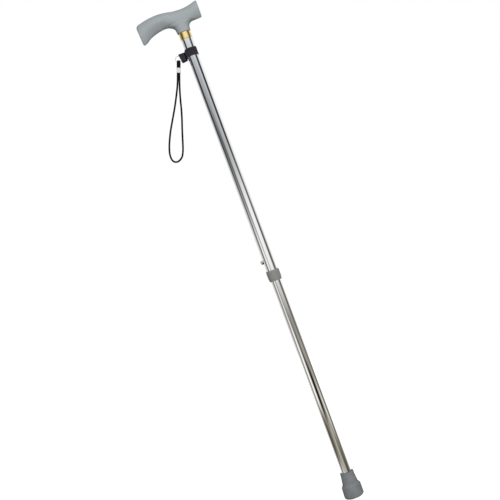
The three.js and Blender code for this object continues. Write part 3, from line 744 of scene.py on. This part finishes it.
def store(thing, name, values):
    attribute = thing.data.attributes.new(name, "FLOAT", "POINT")
    attribute.data.foreach_set("value", np.asarray(values, np.float32))


def wrist_loop():
    below = HANG - Vector((0, 0, CRIMP_BOTTOM_DROP))
    line = evenly(centripetal(np.array(LOOP_ROUTE) * MILLIMETRE), CORD_STEP) + np.array(below)
    return swept("wrist_cord", line, CORD_RADIUS), line, float(along(line)[-1])


def eye_strand(name, side):
    """One strand of the doubled cord, up from the crimp, over the split ring and down again."""
    x = side * STRAND_OFFSET
    drops = (CRIMP_TOP_DROP + CRIMP_RECESS - GAP, CRIMP_TOP_DROP)
    front = [(x, -STRAND_OFFSET, -drop) for drop in drops] + [(x, -BEND_RADIUS, -BEND_RADIUS)]
    over = [(x, y, z) for y, z in arc(0, 0, BEND_RADIUS, math.pi, 0, 8)]
    back = [(x, -y, z) for _, y, z in reversed(front)]
    line = evenly(centripetal(front + over + back), CORD_STEP)
    pinch = EYE_PINCH * smoothstep(line[:, 2], 0, BEND_RADIUS)
    line[:, 0] -= side * pinch
    return swept(name, line + np.array(HANG), CORD_RADIUS - pinch)


def squared(half_x, half_y, squareness, facets):
    """A closed section: an ellipse at squareness 2, and nearer to its box above that."""
    angles = (np.arange(facets) + 0.5) / facets * math.tau
    points = np.column_stack([np.cos(angles), np.sin(angles)])
    return np.sign(points) * np.abs(points) ** (2 / squareness) * (half_x, half_y)


def crimp():
    """A sleeve pressed on the cord's strands, waisted in the middle and open at both ends."""
    top, bottom = -CRIMP_TOP_DROP, -CRIMP_BOTTOM_DROP
    outside = []
    for share in np.linspace(0, 1, 33):
        waist = smoothstep(math.sin(math.pi * share), *CRIMP_WAIST_SHARES)
        into = min(share / CRIMP_EDGE_SHARE, (1 - share) / CRIMP_EDGE_SHARE, 1)
        edge = CRIMP_LIP * (1 - math.sqrt(1 - (1 - into) ** 2))
        outside.append((mix(CRIMP_HALF, CRIMP_WAIST, waist) - edge, mix(bottom, top, share)))
    inside = CRIMP_HALF - CRIMP_LIP
    profile = [(CRIMP_CORE, bottom + CRIMP_RECESS), (inside, bottom + CRIMP_RECESS), (inside, bottom)]
    profile += outside
    profile += [(inside, top), (inside, top - CRIMP_RECESS), (CRIMP_CORE, top - CRIMP_RECESS)]
    rings = [at_height(squared(half, half, CRIMP_SQUARENESS, 64), z) + np.array(HANG) for half, z in profile]
    return skin("cord_sleeve", rings, smooth_angle=40)


# Split ring

def split_ring():
    """Flat wire in two turns, stepping from one to the other, with its ends either side of the step."""
    section = squared(WIRE_RADIAL / 2, WIRE_AXIAL / 2, WIRE_SQUARENESS, 16)
    rings = []
    for angle in np.linspace(RING_OPEN, 2 * math.tau - RING_OPEN, 288):
        lift = WIRE_LIFT * (smoothstep(angle, math.tau - RING_STEP / 2, math.tau + RING_STEP / 2) - 0.5)
        rings.append(on_wheel(section + (0, lift), RING_RADIUS, angle, RING_CENTRE))
    return skin("wire_ring", rings, smooth_angle=50)


# Strap

def weave(along, up, length):
    """Height of the webbing's ribs, which run round the strap and pass over and under its weft."""
    rows = up / RIB_PITCH
    columns = along / length * round(length / WEFT_PITCH)
    rib = np.abs(np.cos(math.pi * rows)) ** RIB_POWER
    over = 0.5 + 0.5 * np.cos(math.tau * (columns + 0.5 * np.floor(rows + 0.5)))
    return rib * (1 - WEFT_SHARE + WEFT_SHARE * over)


def band(name, plan, thickness, height, closed=False, ribbed=True):
    """A band of webbing that follows a plan line of (x, y, z of its middle), with rounded edges."""
    plan = evenly(plan, STRAP_STEP, closed)
    ahead = np.roll(plan, -1, axis=0) - np.roll(plan, 1, axis=0) if closed else np.gradient(plan, axis=0)
    ahead = ahead[:, :2] / np.linalg.norm(ahead[:, :2], axis=1)[:, None]
    normals = np.column_stack([ahead[:, 1], -ahead[:, 0]])
    half = thickness / 2
    face = np.linspace(-height / 2 + half, height / 2 - half, FACE_POINTS)
    edge = np.linspace(0, math.pi, 7)[1:-1]
    edge_out, edge_up = half * np.cos(edge), height / 2 - half + half * np.sin(edge)
    side = np.full(FACE_POINTS, half)
    across = np.concatenate([side, edge_out, -side, -edge_out])
    up = np.concatenate([face, edge_up, face[::-1], -edge_up])
    on_face = np.abs(across) > half * FLAT_SHARE
    length = len(plan) * STRAP_STEP
    rings, ridges, fold_shades = [], [], []
    for i, place in enumerate(plan):
        ridge = weave(i * STRAP_STEP, up, length) if ribbed else np.full(len(up), 0.5)
        reach = across - np.sign(across) * RIB_HEIGHT * (1 - ridge) * on_face
        rings.append(np.column_stack([place[:2] + reach[:, None] * normals[i], place[2] + up]))
        ridges.append(ridge)
        # painted shade in the crease by the tab, kept as the attribute fold
        fold = math.exp(-(((place[0] + FOLD_SHADE_PLACE) / FOLD_SHADE_HALF) ** 4)) if closed else 0
        fold_shades.append(np.full(len(up), FOLD_SHADE_SHARE * fold))
    thing = skin(name, rings, closed=closed, smooth_angle=60)
    store(thing, "ridge", np.concatenate(ridges))
    store(thing, "fold", np.concatenate(fold_shades))
    return thing


def bezier(a, b, c, d, steps):
    a, b, c, d = (np.array(p, float) for p in (a, b, c, d))
    t = np.linspace(0, 1, steps + 1)[:, None]
    return a * (1 - t) ** 3 + 3 * b * t * (1 - t) ** 2 + 3 * c * t**2 * (1 - t) + d * t**3


def strap_plan():
    """The strap's closed plan line: round the tube, out to the tab's fold and back."""
    radius = UPPER_OUTER + STRAP_SEAT + STRAP_HALF
    pocket = math.hypot(WIRE_STACK_HALF, WIRE_RADIAL / 2) + GAP
    fold = pocket + STRAP_HALF
    fold_x = -TAB_REACH + STRAP_HALF + fold
    leave = math.pi + STRAP_LEAVE
    leave_x, leave_y = radius * math.cos(leave), radius * math.sin(leave)
    pull = radius / 3
    pocket_end = -RING_REACH + RING_RADIUS + fold
    middle = (pocket_end - TAB_NECK_REACH) / 2
    neck_y = -STRAP_HALF
    neck = (-TAB_NECK_REACH, neck_y)
    from_neck = (-TAB_NECK_REACH + pull / 2, neck_y)
    to_leave = (leave_x + pull * math.sin(leave), leave_y - pull * math.cos(leave))
    half = np.vstack([
        arc(fold_x, 0, fold, math.pi, 1.5 * math.pi, 16),
        bezier((pocket_end, -fold), (middle, -fold), (middle, neck_y), neck, 16),
        bezier(neck, from_neck, to_leave, (leave_x, leave_y), 32)[1:],
        arc(0, 0, radius, leave, math.tau, 90)[1:],
    ])
    plan = np.vstack([half, (half * (1, -1))[1:-1][::-1]])
    drop_start = radius * math.cos(STRAP_LEAVE)
    to_neck = smoothstep(-plan[:, 0], drop_start, drop_start + TAB_DROP_REACH)
    to_end = smoothstep(-plan[:, 0], radius, TAB_REACH)
    z = STRAP_Z - TAB_DROP * mix(to_end, to_neck, TAB_DROP_AT_NECK_SHARE)
    front_to_back = np.where(plan[:, 0] < fold_x, smoothstep(plan[:, 1], -fold, fold), plan[:, 1] > 0)
    z += to_neck * (TAB_LIFT - TAB_SKEW * front_to_back)
    return np.column_stack([plan, z])


def shear_tab(strap):
    """Pulls the tab's upper corner outwards and its lower one in."""
    points = points_of(strap)
    on_tab = smoothstep(-points[:, 0], TAB_NECK_REACH, TAB_REACH)
    points[:, 0] -= TAB_SHEAR_SHARE * (points[:, 2] - TAB_Z) * on_tab
    move_points(strap, points)


def wire_room():
    """A fat ring round the split ring's wire, which opens its slits in the tab's fold."""
    section = circle(WIRE_STACK_HALF + GAP / 2, 24)
    angles = np.linspace(0, math.tau, 96, endpoint=False)
    rings = [on_wheel(section, RING_RADIUS, angle, (-RING_REACH, 0, TAB_Z)) for angle in angles]
    return skin("wire_room", rings, closed=True)


def round_line(radii, angles):
    """Plan line of a band that lies round the tube, level with the strap."""
    return at_height(np.column_stack([radii * np.cos(angles), radii * np.sin(angles)]), STRAP_Z)


def strap_pieces(webbing):
    """The strap round the tube, and behind the tube its overlapping end with the hook patch under it."""
    strap = band("strap", strap_plan(), STRAP_THICKNESS, STRAP_HEIGHT, closed=True)
    shear_tab(strap)
    cut(strap, [wire_room()])
    inner = UPPER_OUTER + STRAP_SEAT + STRAP_THICKNESS
    patch_radius = inner + PATCH_THICKNESS / 2 + PRESSED_GAP
    behind = math.pi / 2
    patch_line = round_line(patch_radius, np.linspace(behind - PATCH_HALF, behind + PATCH_HALF, 41))
    patch_height = STRAP_HEIGHT - 2 * STRAP_THICKNESS
    patch = band("hook_patch", patch_line, PATCH_THICKNESS, patch_height, ribbed=False)
    high = patch_radius + PATCH_THICKNESS / 2 + PRESSED_GAP + STRAP_HALF
    low = inner + PRESSED_GAP + STRAP_HALF
    ramp_start = behind + PATCH_HALF + TAIL_RAMP / 4
    ramp_end = ramp_start + TAIL_RAMP
    angles = np.linspace(behind - TAIL_HALF, behind + 2 * TAIL_HALF - PATCH_HALF, 120)
    tail_line = round_line(mix(high, low, smoothstep(angles, ramp_start, ramp_end)), angles)
    tail = band("strap_end", tail_line, STRAP_THICKNESS, STRAP_HEIGHT)
    for piece, node in ((strap, "strap_band"), (patch, "strap_hook_patch"), (tail, "strap_tail")):
        dress(leaned(piece), webbing, "upper", "strap_webbing", node)


# Handle

def bar_rings():
    """Sections of the bar, from its rear end to its nose."""
    length = HANDLE_REAR + HANDLE_NOSE
    rear_tip = NECK_Z + HANDLE_ABOVE_NECK
    rings = []
    for angle in np.linspace(0, math.pi, 151):
        share = (1 - math.cos(angle)) / 2
        from_end = min(share, 1 - share) * length
        into = min(from_end / HANDLE_EDGE, 1)
        inset = HANDLE_EDGE * (1 - math.sqrt(1 - (1 - into) ** 2))
        top = rear_tip + HANDLE_HEIGHT * value_at(TOP_SHARES, share) - inset
        under = rear_tip + HANDLE_HEIGHT * value_at(UNDERSIDE_SHARES, share) + inset
        half_depth = HANDLE_DEPTH / 2 * value_at(DEPTH_SHARES, share) - inset
        slant = HANDLE_SLANT * max(1 - share / SLANT_SHARE, 0)
        away = smoothstep(abs(share * length - HANDLE_REAR), *TAPER_PLACES)
        half_height = (top - under) / 2
        section = squared(half_depth, half_height, HANDLE_SQUARENESS, HANDLE_FACETS)
        squareness = mix(NECK_SQUARENESS, HANDLE_SQUARENESS, away)
        lower = squared(half_depth, half_height, squareness, HANDLE_FACETS)
        section = np.where(section[:, 1:] < 0, lower, section)
        down = np.clip(-section[:, 1] / half_height, 0, 1)
        section[:, 0] *= 1 - HANDLE_TAPER_SHARE * away * down**TAPER_POWER
        x = share * length - HANDLE_REAR - slant * section[:, 1] / HANDLE_HEIGHT
        rings.append(np.column_stack([x, section[:, 0], (top + under) / 2 + section[:, 1]]))
    return rings


def neck_rings():
    """Sections of the neck, which flares up into the bar."""
    foot_radius = COLLAR_OUTER + NECK_OVERHANG
    unit = circle(1, HANDLE_FACETS)
    rings = []
    for share in np.linspace(0, 1, 40):
        reach_x = foot_radius + NECK_FLARE * value_at(NECK_LONG_SHARES, share)
        reach_y = foot_radius + NECK_FLARE * value_at(NECK_ACROSS_SHARES, share)
        rings.append(at_height(unit * (reach_x, reach_y) - (NECK_SHIFT, 0), NECK_Z + share * NECK_RISE))
    inside = unit * (foot_radius + NECK_FLARE, foot_radius)
    rings.append(at_height(inside, NECK_Z + NECK_RISE + NECK_INSIDE))
    return rings


def stem():
    outer = UPPER_OUTER - TUBE_WALL - GAP
    inner = outer - STEM_WALL
    foot, top = NECK_Z - STEM_LENGTH, NECK_Z + STEM_WALL
    return lathe("stem", [(inner, foot), (outer, foot), (outer, top), (inner, top)])


def handle(look):
    """Bar, neck and stem joined to one moulded skin, with the creases between them rounded."""
    bar = skin("handle_moulding", bar_rings())
    for extra in (skin("neck", neck_rings()), stem()):
        with bpy.context.temp_override(active_object=bar, selected_editable_objects=[bar, extra]):
            bpy.ops.object.join()
    remesh = bar.modifiers.new("remesh", "REMESH")
    remesh.mode = "VOXEL"
    remesh.voxel_size = HANDLE_VOXEL
    apply_modifiers(bar)
    soften(bar)
    bar.data.shade_smooth()
    dress(leaned(bar), look, "upper", "handle_plastic", "handle")


def soften(thing):
    """Evens the skin, and rounds it most where the neck runs into the bar."""
    points = points_of(thing)
    rise = (points[:, 2] - NECK_Z) / NECK_RISE
    near = smoothstep(rise, *CREASE_START_SHARES) * smoothstep(rise, *CREASE_END_SHARES)
    near *= smoothstep(np.abs(points[:, 0]), *CREASE_ENDS)
    group = thing.vertex_groups.new(name="crease")
    for i in np.nonzero(near > 0.01)[0]:
        group.add([int(i)], float(near[i]), "REPLACE")
    for iterations, name in ((SMOOTH_ROUNDS, ""), (CREASE_ROUNDS, "crease")):
        smooth = thing.modifiers.new("smooth", "SMOOTH")
        smooth.factor = 0.5
        smooth.iterations = iterations
        smooth.vertex_group = name
    apply_modifiers(thing)


# Turned pieces and tubes

def detent_cutter(z):
    hole = circle(BUTTON_DIAMETER / 2 + GAP, 64) + (0, z)
    return skin("cutter", [np.column_stack([np.full(64, x), hole]) for x in (-2 * UPPER_OUTER, 0)])


def tube(name, low, high, holes):
    """A drilled tube between its lowest and highest corner."""
    outer, low, high = high.x, low.z, high.z
    inner = outer - TUBE_WALL
    bevel = TUBE_WALL / 5
    rows = max(int((high - low) / TUBE_ROW), 1)
    outside = [(outer, z) for z in np.linspace(low + bevel, high - bevel, rows)]
    profile = [(inner, low), (outer - bevel, low)] + outside + [(outer - bevel, high), (inner, high)]
    thing = lathe(name, profile, TUBE_FACETS, 30)
    cut(thing, [detent_cutter(z) for z in holes])
    round_normals(thing, outer)
    return thing


def round_normals(thing, radius):
    """Shades the outside of a drilled tube as the true cylinder."""
    mesh = thing.data
    shade(mesh, 30)
    normals = [Vector(n.vector) for n in mesh.corner_normals]
    for polygon in mesh.polygons:
        reaches = [math.hypot(*mesh.vertices[v].co[:2]) for v in polygon.vertices]
        if max(abs(reach - radius) for reach in reaches) < SURFACE_TOLERANCE:
            for loop in polygon.loop_indices:
                x, y, _ = mesh.vertices[mesh.loops[loop].vertex_index].co
                normals[loop] = Vector((x, y, 0)).normalized()
    mesh.normals_split_custom_set(normals)


def collar(look):
    inner, outer = UPPER_OUTER + PRESSED_GAP, COLLAR_OUTER
    low, high = COLLAR_LOW.z, COLLAR_HIGH.z
    foot, top = outer + COLLAR_TAPER / 2, outer - COLLAR_TAPER / 2
    profile = filleted([
        (inner, low), (foot, low, COLLAR_EDGE), (foot, low + 2 * COLLAR_EDGE),
        (top, high - 2 * COLLAR_EDGE), (top, high, COLLAR_EDGE), (inner, high),
    ])
    dress(leaned(lathe("gold_collar", profile)), look, "upper", "gold_collar", "collar_ring")


def button(look):
    shank = BUTTON_DIAMETER / 2
    flange = shank + BUTTON_FLANGE
    dome_foot = BUTTON_HIGH.x - BUTTON_LOW.x - BUTTON_DOME
    profile = [(0, 0), (flange, 0), (flange, FLANGE_THICKNESS), (shank, FLANGE_THICKNESS)]
    profile += [(shank * x, dome_foot + BUTTON_DOME * y) for x, y in arc(0, 0, 1, 0, math.pi / 2, 24)]
    thing = lathe("button_head", profile, 96, 40)
    turned = Matrix.Translation((BUTTON_HIGH.x, 0, BUTTON_Z)) @ Matrix.Rotation(-math.pi / 2, 4, "Y")
    thing.matrix_world = STICK @ turned
    dress(thing, look, "button", "chromed_tube", "snap_button")


def locking_ring(look):
    bore = UPPER_OUTER + GAP
    top_radius = bore + LOCK_WALL
    foot_radius = top_radius - LOCK_FOOT_INSET
    foot = LOCK_LOW.z - LOCK_FOOT_DROP
    height = LOCK_HIGH.z - foot
    lower_bore = LOWER_OUTER + GAP
    swell = LOCK_FOOT_INSET + LOCK_SWELL
    outside = [(foot_radius + out * swell, foot + up * height) for up, out in spline(BARREL_SHARES, 10)]
    shoulder = (top_radius - LOCK_EDGE / 2, LOCK_HIGH.z, LOCK_RIM)
    profile = [(lower_bore, foot), (foot_radius - LOCK_EDGE, foot)] + outside
    profile += filleted([outside[-1], shoulder, (bore, LOCK_HIGH.z)])[1:]
    profile += [(bore, UPPER_LOW.z - GAP), (lower_bore, LOCK_LOW.z + LOCK_FOOT_THICKNESS)]
    piece = lathe("lock_barrel", profile)
    move_points(piece, points_of(piece) + (LOCK_SHIFT, 0, 0))
    dress(leaned(piece), look, "locking_ring", "ring_plastic", "locking_ring")


def ferrule(look):
    bore = LOWER_OUTER + GAP
    mouth = bore + MOUTH_WALL
    sleeve = bore + SLEEVE_WALL
    base = sleeve + SHOULDER_WIDTH
    tread = base - TREAD_INSET
    edge_z = SHOULDER_Z - SHOULDER_DROP
    lip_z = FERRULE_HIGH.z - LIP_HEIGHT
    lip_radius = mix(sleeve, mouth, (lip_z - SHOULDER_Z) / (FERRULE_HIGH.z - SHOULDER_Z))
    profile = [(0, 0)]
    for i in range(GROOVE_COUNT):
        middle = tread * (i + 1) / (GROOVE_COUNT + 0.5)
        low, high = middle - GROOVE_WIDTH / 2, middle + GROOVE_WIDTH / 2
        profile += filleted([
            (0, 0), (low, 0, GROOVE_EDGE), (low, GROOVE_DEPTH, GROOVE_ROOT),
            (high, GROOVE_DEPTH, GROOVE_ROOT), (high, 0, GROOVE_EDGE), (base, 0),
        ], 3)[1:-1]
    profile += [tuple(p) for p in arc(tread, TREAD_INSET, TREAD_INSET, -math.pi / 2, 0, 12)]
    profile += filleted([
        (base, TREAD_INSET), (base - BASE_DRAFT, edge_z, SHOULDER_EDGE),
        (sleeve, SHOULDER_Z, SHOULDER_EDGE), (lip_radius - LIP_STEP, lip_z - LIP_STEP, LIP_STEP / 2),
        (lip_radius, lip_z + LIP_STEP, LIP_STEP / 2), (mouth, FERRULE_HIGH.z, MOUTH_EDGE),
        (bore, FERRULE_HIGH.z, BORE_EDGE), (bore, BORE_FLOOR),
    ], 8)[1:]
    piece = lathe("rubber_foot", profile + [(0, BORE_FLOOR)])
    points = points_of(piece)
    points[:, 0] += mix(LEAN_FOOT, LEAN_MOUTH, points[:, 2] / FERRULE_HIGH.z)
    move_points(piece, points)
    dress(leaned(piece), look, "lower", "ferrule_rubber", "ferrule")


# Surroundings

AMBIENT = 0.12
FLOOR_HALF = 12
FLOOR_GREY = (0.4, 0.4, 0.4)
FLOOR_GLOW_SHARE = 0.96
LAMP_SIZE = 0.6
LAMP_DISTANCE = 2.2
LAMP_SIDE = 0.12
FRONT_RISE = 1.05
BACK_RISE = 0.15
FRONT_POWER = 60
BACK_POWER = 50
# The screens' tints, low down and high up, and between which degrees of elevation they change
WARM = (1, 0.88, 0.66)
COOL = (0.88, 0.96, 1.04)
WARM_TO_COOL = (-11, 12)
AMBER = (1, 0.52, 0.1)  # higher still, where only the collar looks
COOL_TO_AMBER = (15, 16)
AMBER_FADE = (21, 23)
AMBER_GLOW_SHARE = 0.16
# The ground and the ceiling as shiny pieces see them, and the share of the light that each takes away
GROUND = (-30, -50)
GROUND_SHARE = 0.9
CEILING = (55, 75)
CEILING_SHARE = 0.4
# Grey screens that only the shiny pieces reflect, leaning as the stick does, in degrees: azimuth from the
# camera's side towards +X, half width, slant, elevation, half height; and the share of light each takes.
SCREENS = [
    (-68, 22, 0.4, 24, 27, 0.99),
    (-79, 12, 0.8, -8, 15, 0.81),
    (78, 16, 0.6, 20, 26, 0.99),
    (89, 26, -1, -7, 12, 0.83),
    (-119, 29, -0.6, 0, 60, 0.22),
    (-31, 77, -1.1, 9, 5, 0.55),
    (-37, 17, 0.2, 5, 4.2, 0.75),
    (53, 14, 0.4, 10, 5, 0.89),
    (-20, 5, 0, -1, 6.4, 0.9),
    (3, 62, 0.2, -4, 2, 0.32),
    (26, 41, -1.1, -7, 3, 0.59),
    (-7, 16, 0.4, -9, 4, 0.86),
    (4, 28, 0.6, -10, 2, 0.99),
    (30, 16, -0.2, -13, 2.6, 0.49),
    (21, 73, 0.5, -15, 2.6, 0.5),
    (-59, 41, 0.4, -13, 1.9, 0.85),
    (56, 25, 0.5, -17.7, 4.7, 0.94),
    (-83, 15, 0, -17, 3.4, 0.6),
    (-118, 38, 0, 30, 14, 0.5),
    (122, 38, 0, 30, 14, 0.4),
    (-74, 44, 0, 20, 4.5, 0.9),
    (76, 38, 0, 20, 4.5, 0.88),
]


def world():
    """White round the stick. Its reflection also has the dark screens of a small studio."""
    made = bpy.data.worlds.new("studio")
    bpy.context.scene.world = made
    made.use_nodes = True
    made.node_tree.nodes.clear()
    sky = Nodes(made.node_tree)
    inputs = {"Vector": sky.add("ShaderNodeTexCoord").outputs["Generated"], "Rotation": (0, LEAN, 0)}
    upright = sky.add("ShaderNodeMapping", inputs, vector_type="VECTOR").outputs[0]
    direction = sky.add("ShaderNodeSeparateXYZ", {0: upright}).outputs
    azimuth = sky.math("ARCTAN2", direction["X"], sky.product(direction["Y"], -1))
    elevation = sky.math("ARCSINE", direction["Z"])

    def rising(start, end):
        """0 up to one elevation and 1 from another on."""
        return sky.spread(elevation, 0, 1, math.radians(start), math.radians(end))

    def fourth_power(value):
        square = sky.product(value, value)
        return sky.product(square, square)

    def screen(centre, half_width, slant, middle, half_height):
        """1 in the middle of a screen and 0 outside it; it slants by so many degrees for each of height."""
        up = sky.math("SUBTRACT", elevation, math.radians(middle))
        across = sky.math("SUBTRACT", azimuth, math.radians(centre))
        across = sky.math("SUBTRACT", across, sky.product(up, slant))
        across = fourth_power(sky.math("DIVIDE", across, math.radians(half_width)))
        up = fourth_power(sky.math("DIVIDE", up, math.radians(half_height)))
        return sky.math("POWER", math.e, sky.product(sky.math("ADD", across, up), -1))

    shades = [sky.product(screen(*outline), share) for *outline, share in SCREENS]
    shades += [sky.product(rising(*GROUND), GROUND_SHARE), sky.product(rising(*CEILING), CEILING_SHARE)]
    light = 1.0
    for shade in shades:
        light = sky.product(light, sky.rest(shade))
    tint = sky.blend(rising(*WARM_TO_COOL), WARM, COOL)
    amber = sky.product(rising(*COOL_TO_AMBER), sky.rest(rising(*AMBER_FADE)))
    tint = sky.blend(sky.rest(light), (1, 1, 1), sky.blend(amber, tint, AMBER))
    glow = sky.product(sky.product(amber, sky.rest(light)), AMBER_GLOW_SHARE)
    light = sky.math("ADD", light, glow)

    def background(color, strength):
        return sky.add("ShaderNodeBackground", {"Color": color, "Strength": strength}).outputs[0]

    path = sky.add("ShaderNodeLightPath").outputs
    shown = sky.math("MAXIMUM", path["Is Camera Ray"], path["Is Transmission Ray"])
    inputs = {0: path["Is Glossy Ray"], 1: background((1, 1, 1, 1), AMBIENT), 2: background(tint, light)}
    lit = sky.add("ShaderNodeMixShader", inputs).outputs[0]
    final = sky.add("ShaderNodeMixShader", {0: shown, 1: lit, 2: background((1, 1, 1, 1), 1.0)}).outputs[0]
    sky.add("ShaderNodeOutputWorld", {"Surface": final})


def lamp(name, side, rise, power):
    """A round lamp before the stick, side -1, or behind it, side 1."""
    data = bpy.data.lights.new(name, "AREA")
    data.shape = "DISK"
    data.size = LAMP_SIZE
    data.energy = power
    thing = placed(name, data)
    target = Vector(CAMERA_PLACE) * Vector((1, 0, 1))
    thing.location = target + Vector((-side * LAMP_SIDE, side * LAMP_DISTANCE, rise))
    thing.rotation_euler = (target - thing.location).to_track_quat("-Z", "Y").to_euler()
    thing.visible_glossy = False


def floor():
    """A pale floor that shows as white and keeps a faint shadow."""
    bottom = CAD_LOW.z - GAP
    corners = [(FLOOR_HALF * x, FLOOR_HALF * y, bottom) for x, y in ((-1, -1), (1, -1), (1, 1), (-1, 1))]
    mesh = bpy.data.meshes.new("floor")
    mesh.from_pydata(corners, [], [(0, 1, 2, 3)])
    thing = placed("floor", mesh)
    look = Look("floor", FLOOR_GREY, 0.9)
    look.set("Specular IOR Level", 0)
    path = look.add("ShaderNodeLightPath").outputs
    seen = look.math("MAXIMUM", path["Is Camera Ray"], path["Is Glossy Ray"])
    seen = look.math("MAXIMUM", seen, path["Is Transmission Ray"])
    look.set("Emission Color", (1, 1, 1, 1))
    look.set("Emission Strength", look.product(seen, FLOOR_GLOW_SHARE))
    mesh.materials.append(look.material)
    thing.visible_glossy = False


# The stick

add_camera()
cord = cord_look()
loop, loop_line, loop_length = wrist_loop()
dress(loop, cord, "wrist_loop", "loop_cord", "wrist_loop")
for eye_name, eye_side in (("cord_eye_left", -1), ("cord_eye_right", 1)):
    eye = eye_strand(eye_name + "_braid", eye_side)
    dress(eye, cord, "wrist_loop", "loop_cord", eye_name)
sleeve = crimp()
dress(sleeve, crimp_look(), "wrist_loop", "crimp_plastic", "cord_crimp")
dress(split_ring(), wire_look(), "split_ring", "ring_wire", "split_ring")

chrome = chrome_look()
holes = [BUTTON_Z + i * DETENT_PITCH for i in range(DETENT_COUNT)]
upper = tube("upper_chrome", UPPER_LOW, UPPER_HIGH, holes)
dress(leaned(upper), chrome, "upper", "chromed_tube", "upper_tube")
lower = tube("lower_chrome", LOWER_LOW, LOWER_HIGH, holes[:1])
dress(leaned(lower), chrome, "lower", "chromed_tube", "lower_tube")
button(button_look())
handle(handle_look())
collar(gold_look())
locking_ring(ring_plastic_look())
ferrule(rubber_look())
strap_pieces(webbing_look())

steel = steel_look()
nylon = nylon_look()
for node, inner_look in (
    ("handle_pin", steel), ("button_spring", steel), ("ferrule_washer", steel),
    ("collet", nylon), ("lower_tube_cap", nylon),
):
    paint(frame["nodes"][node], inner_look)

world()
lamp("front_lamp", -1, FRONT_RISE, FRONT_POWER)
lamp("back_lamp", 1, BACK_RISE, BACK_POWER)
floor()
bpy.context.scene.view_settings.view_transform = "Standard"
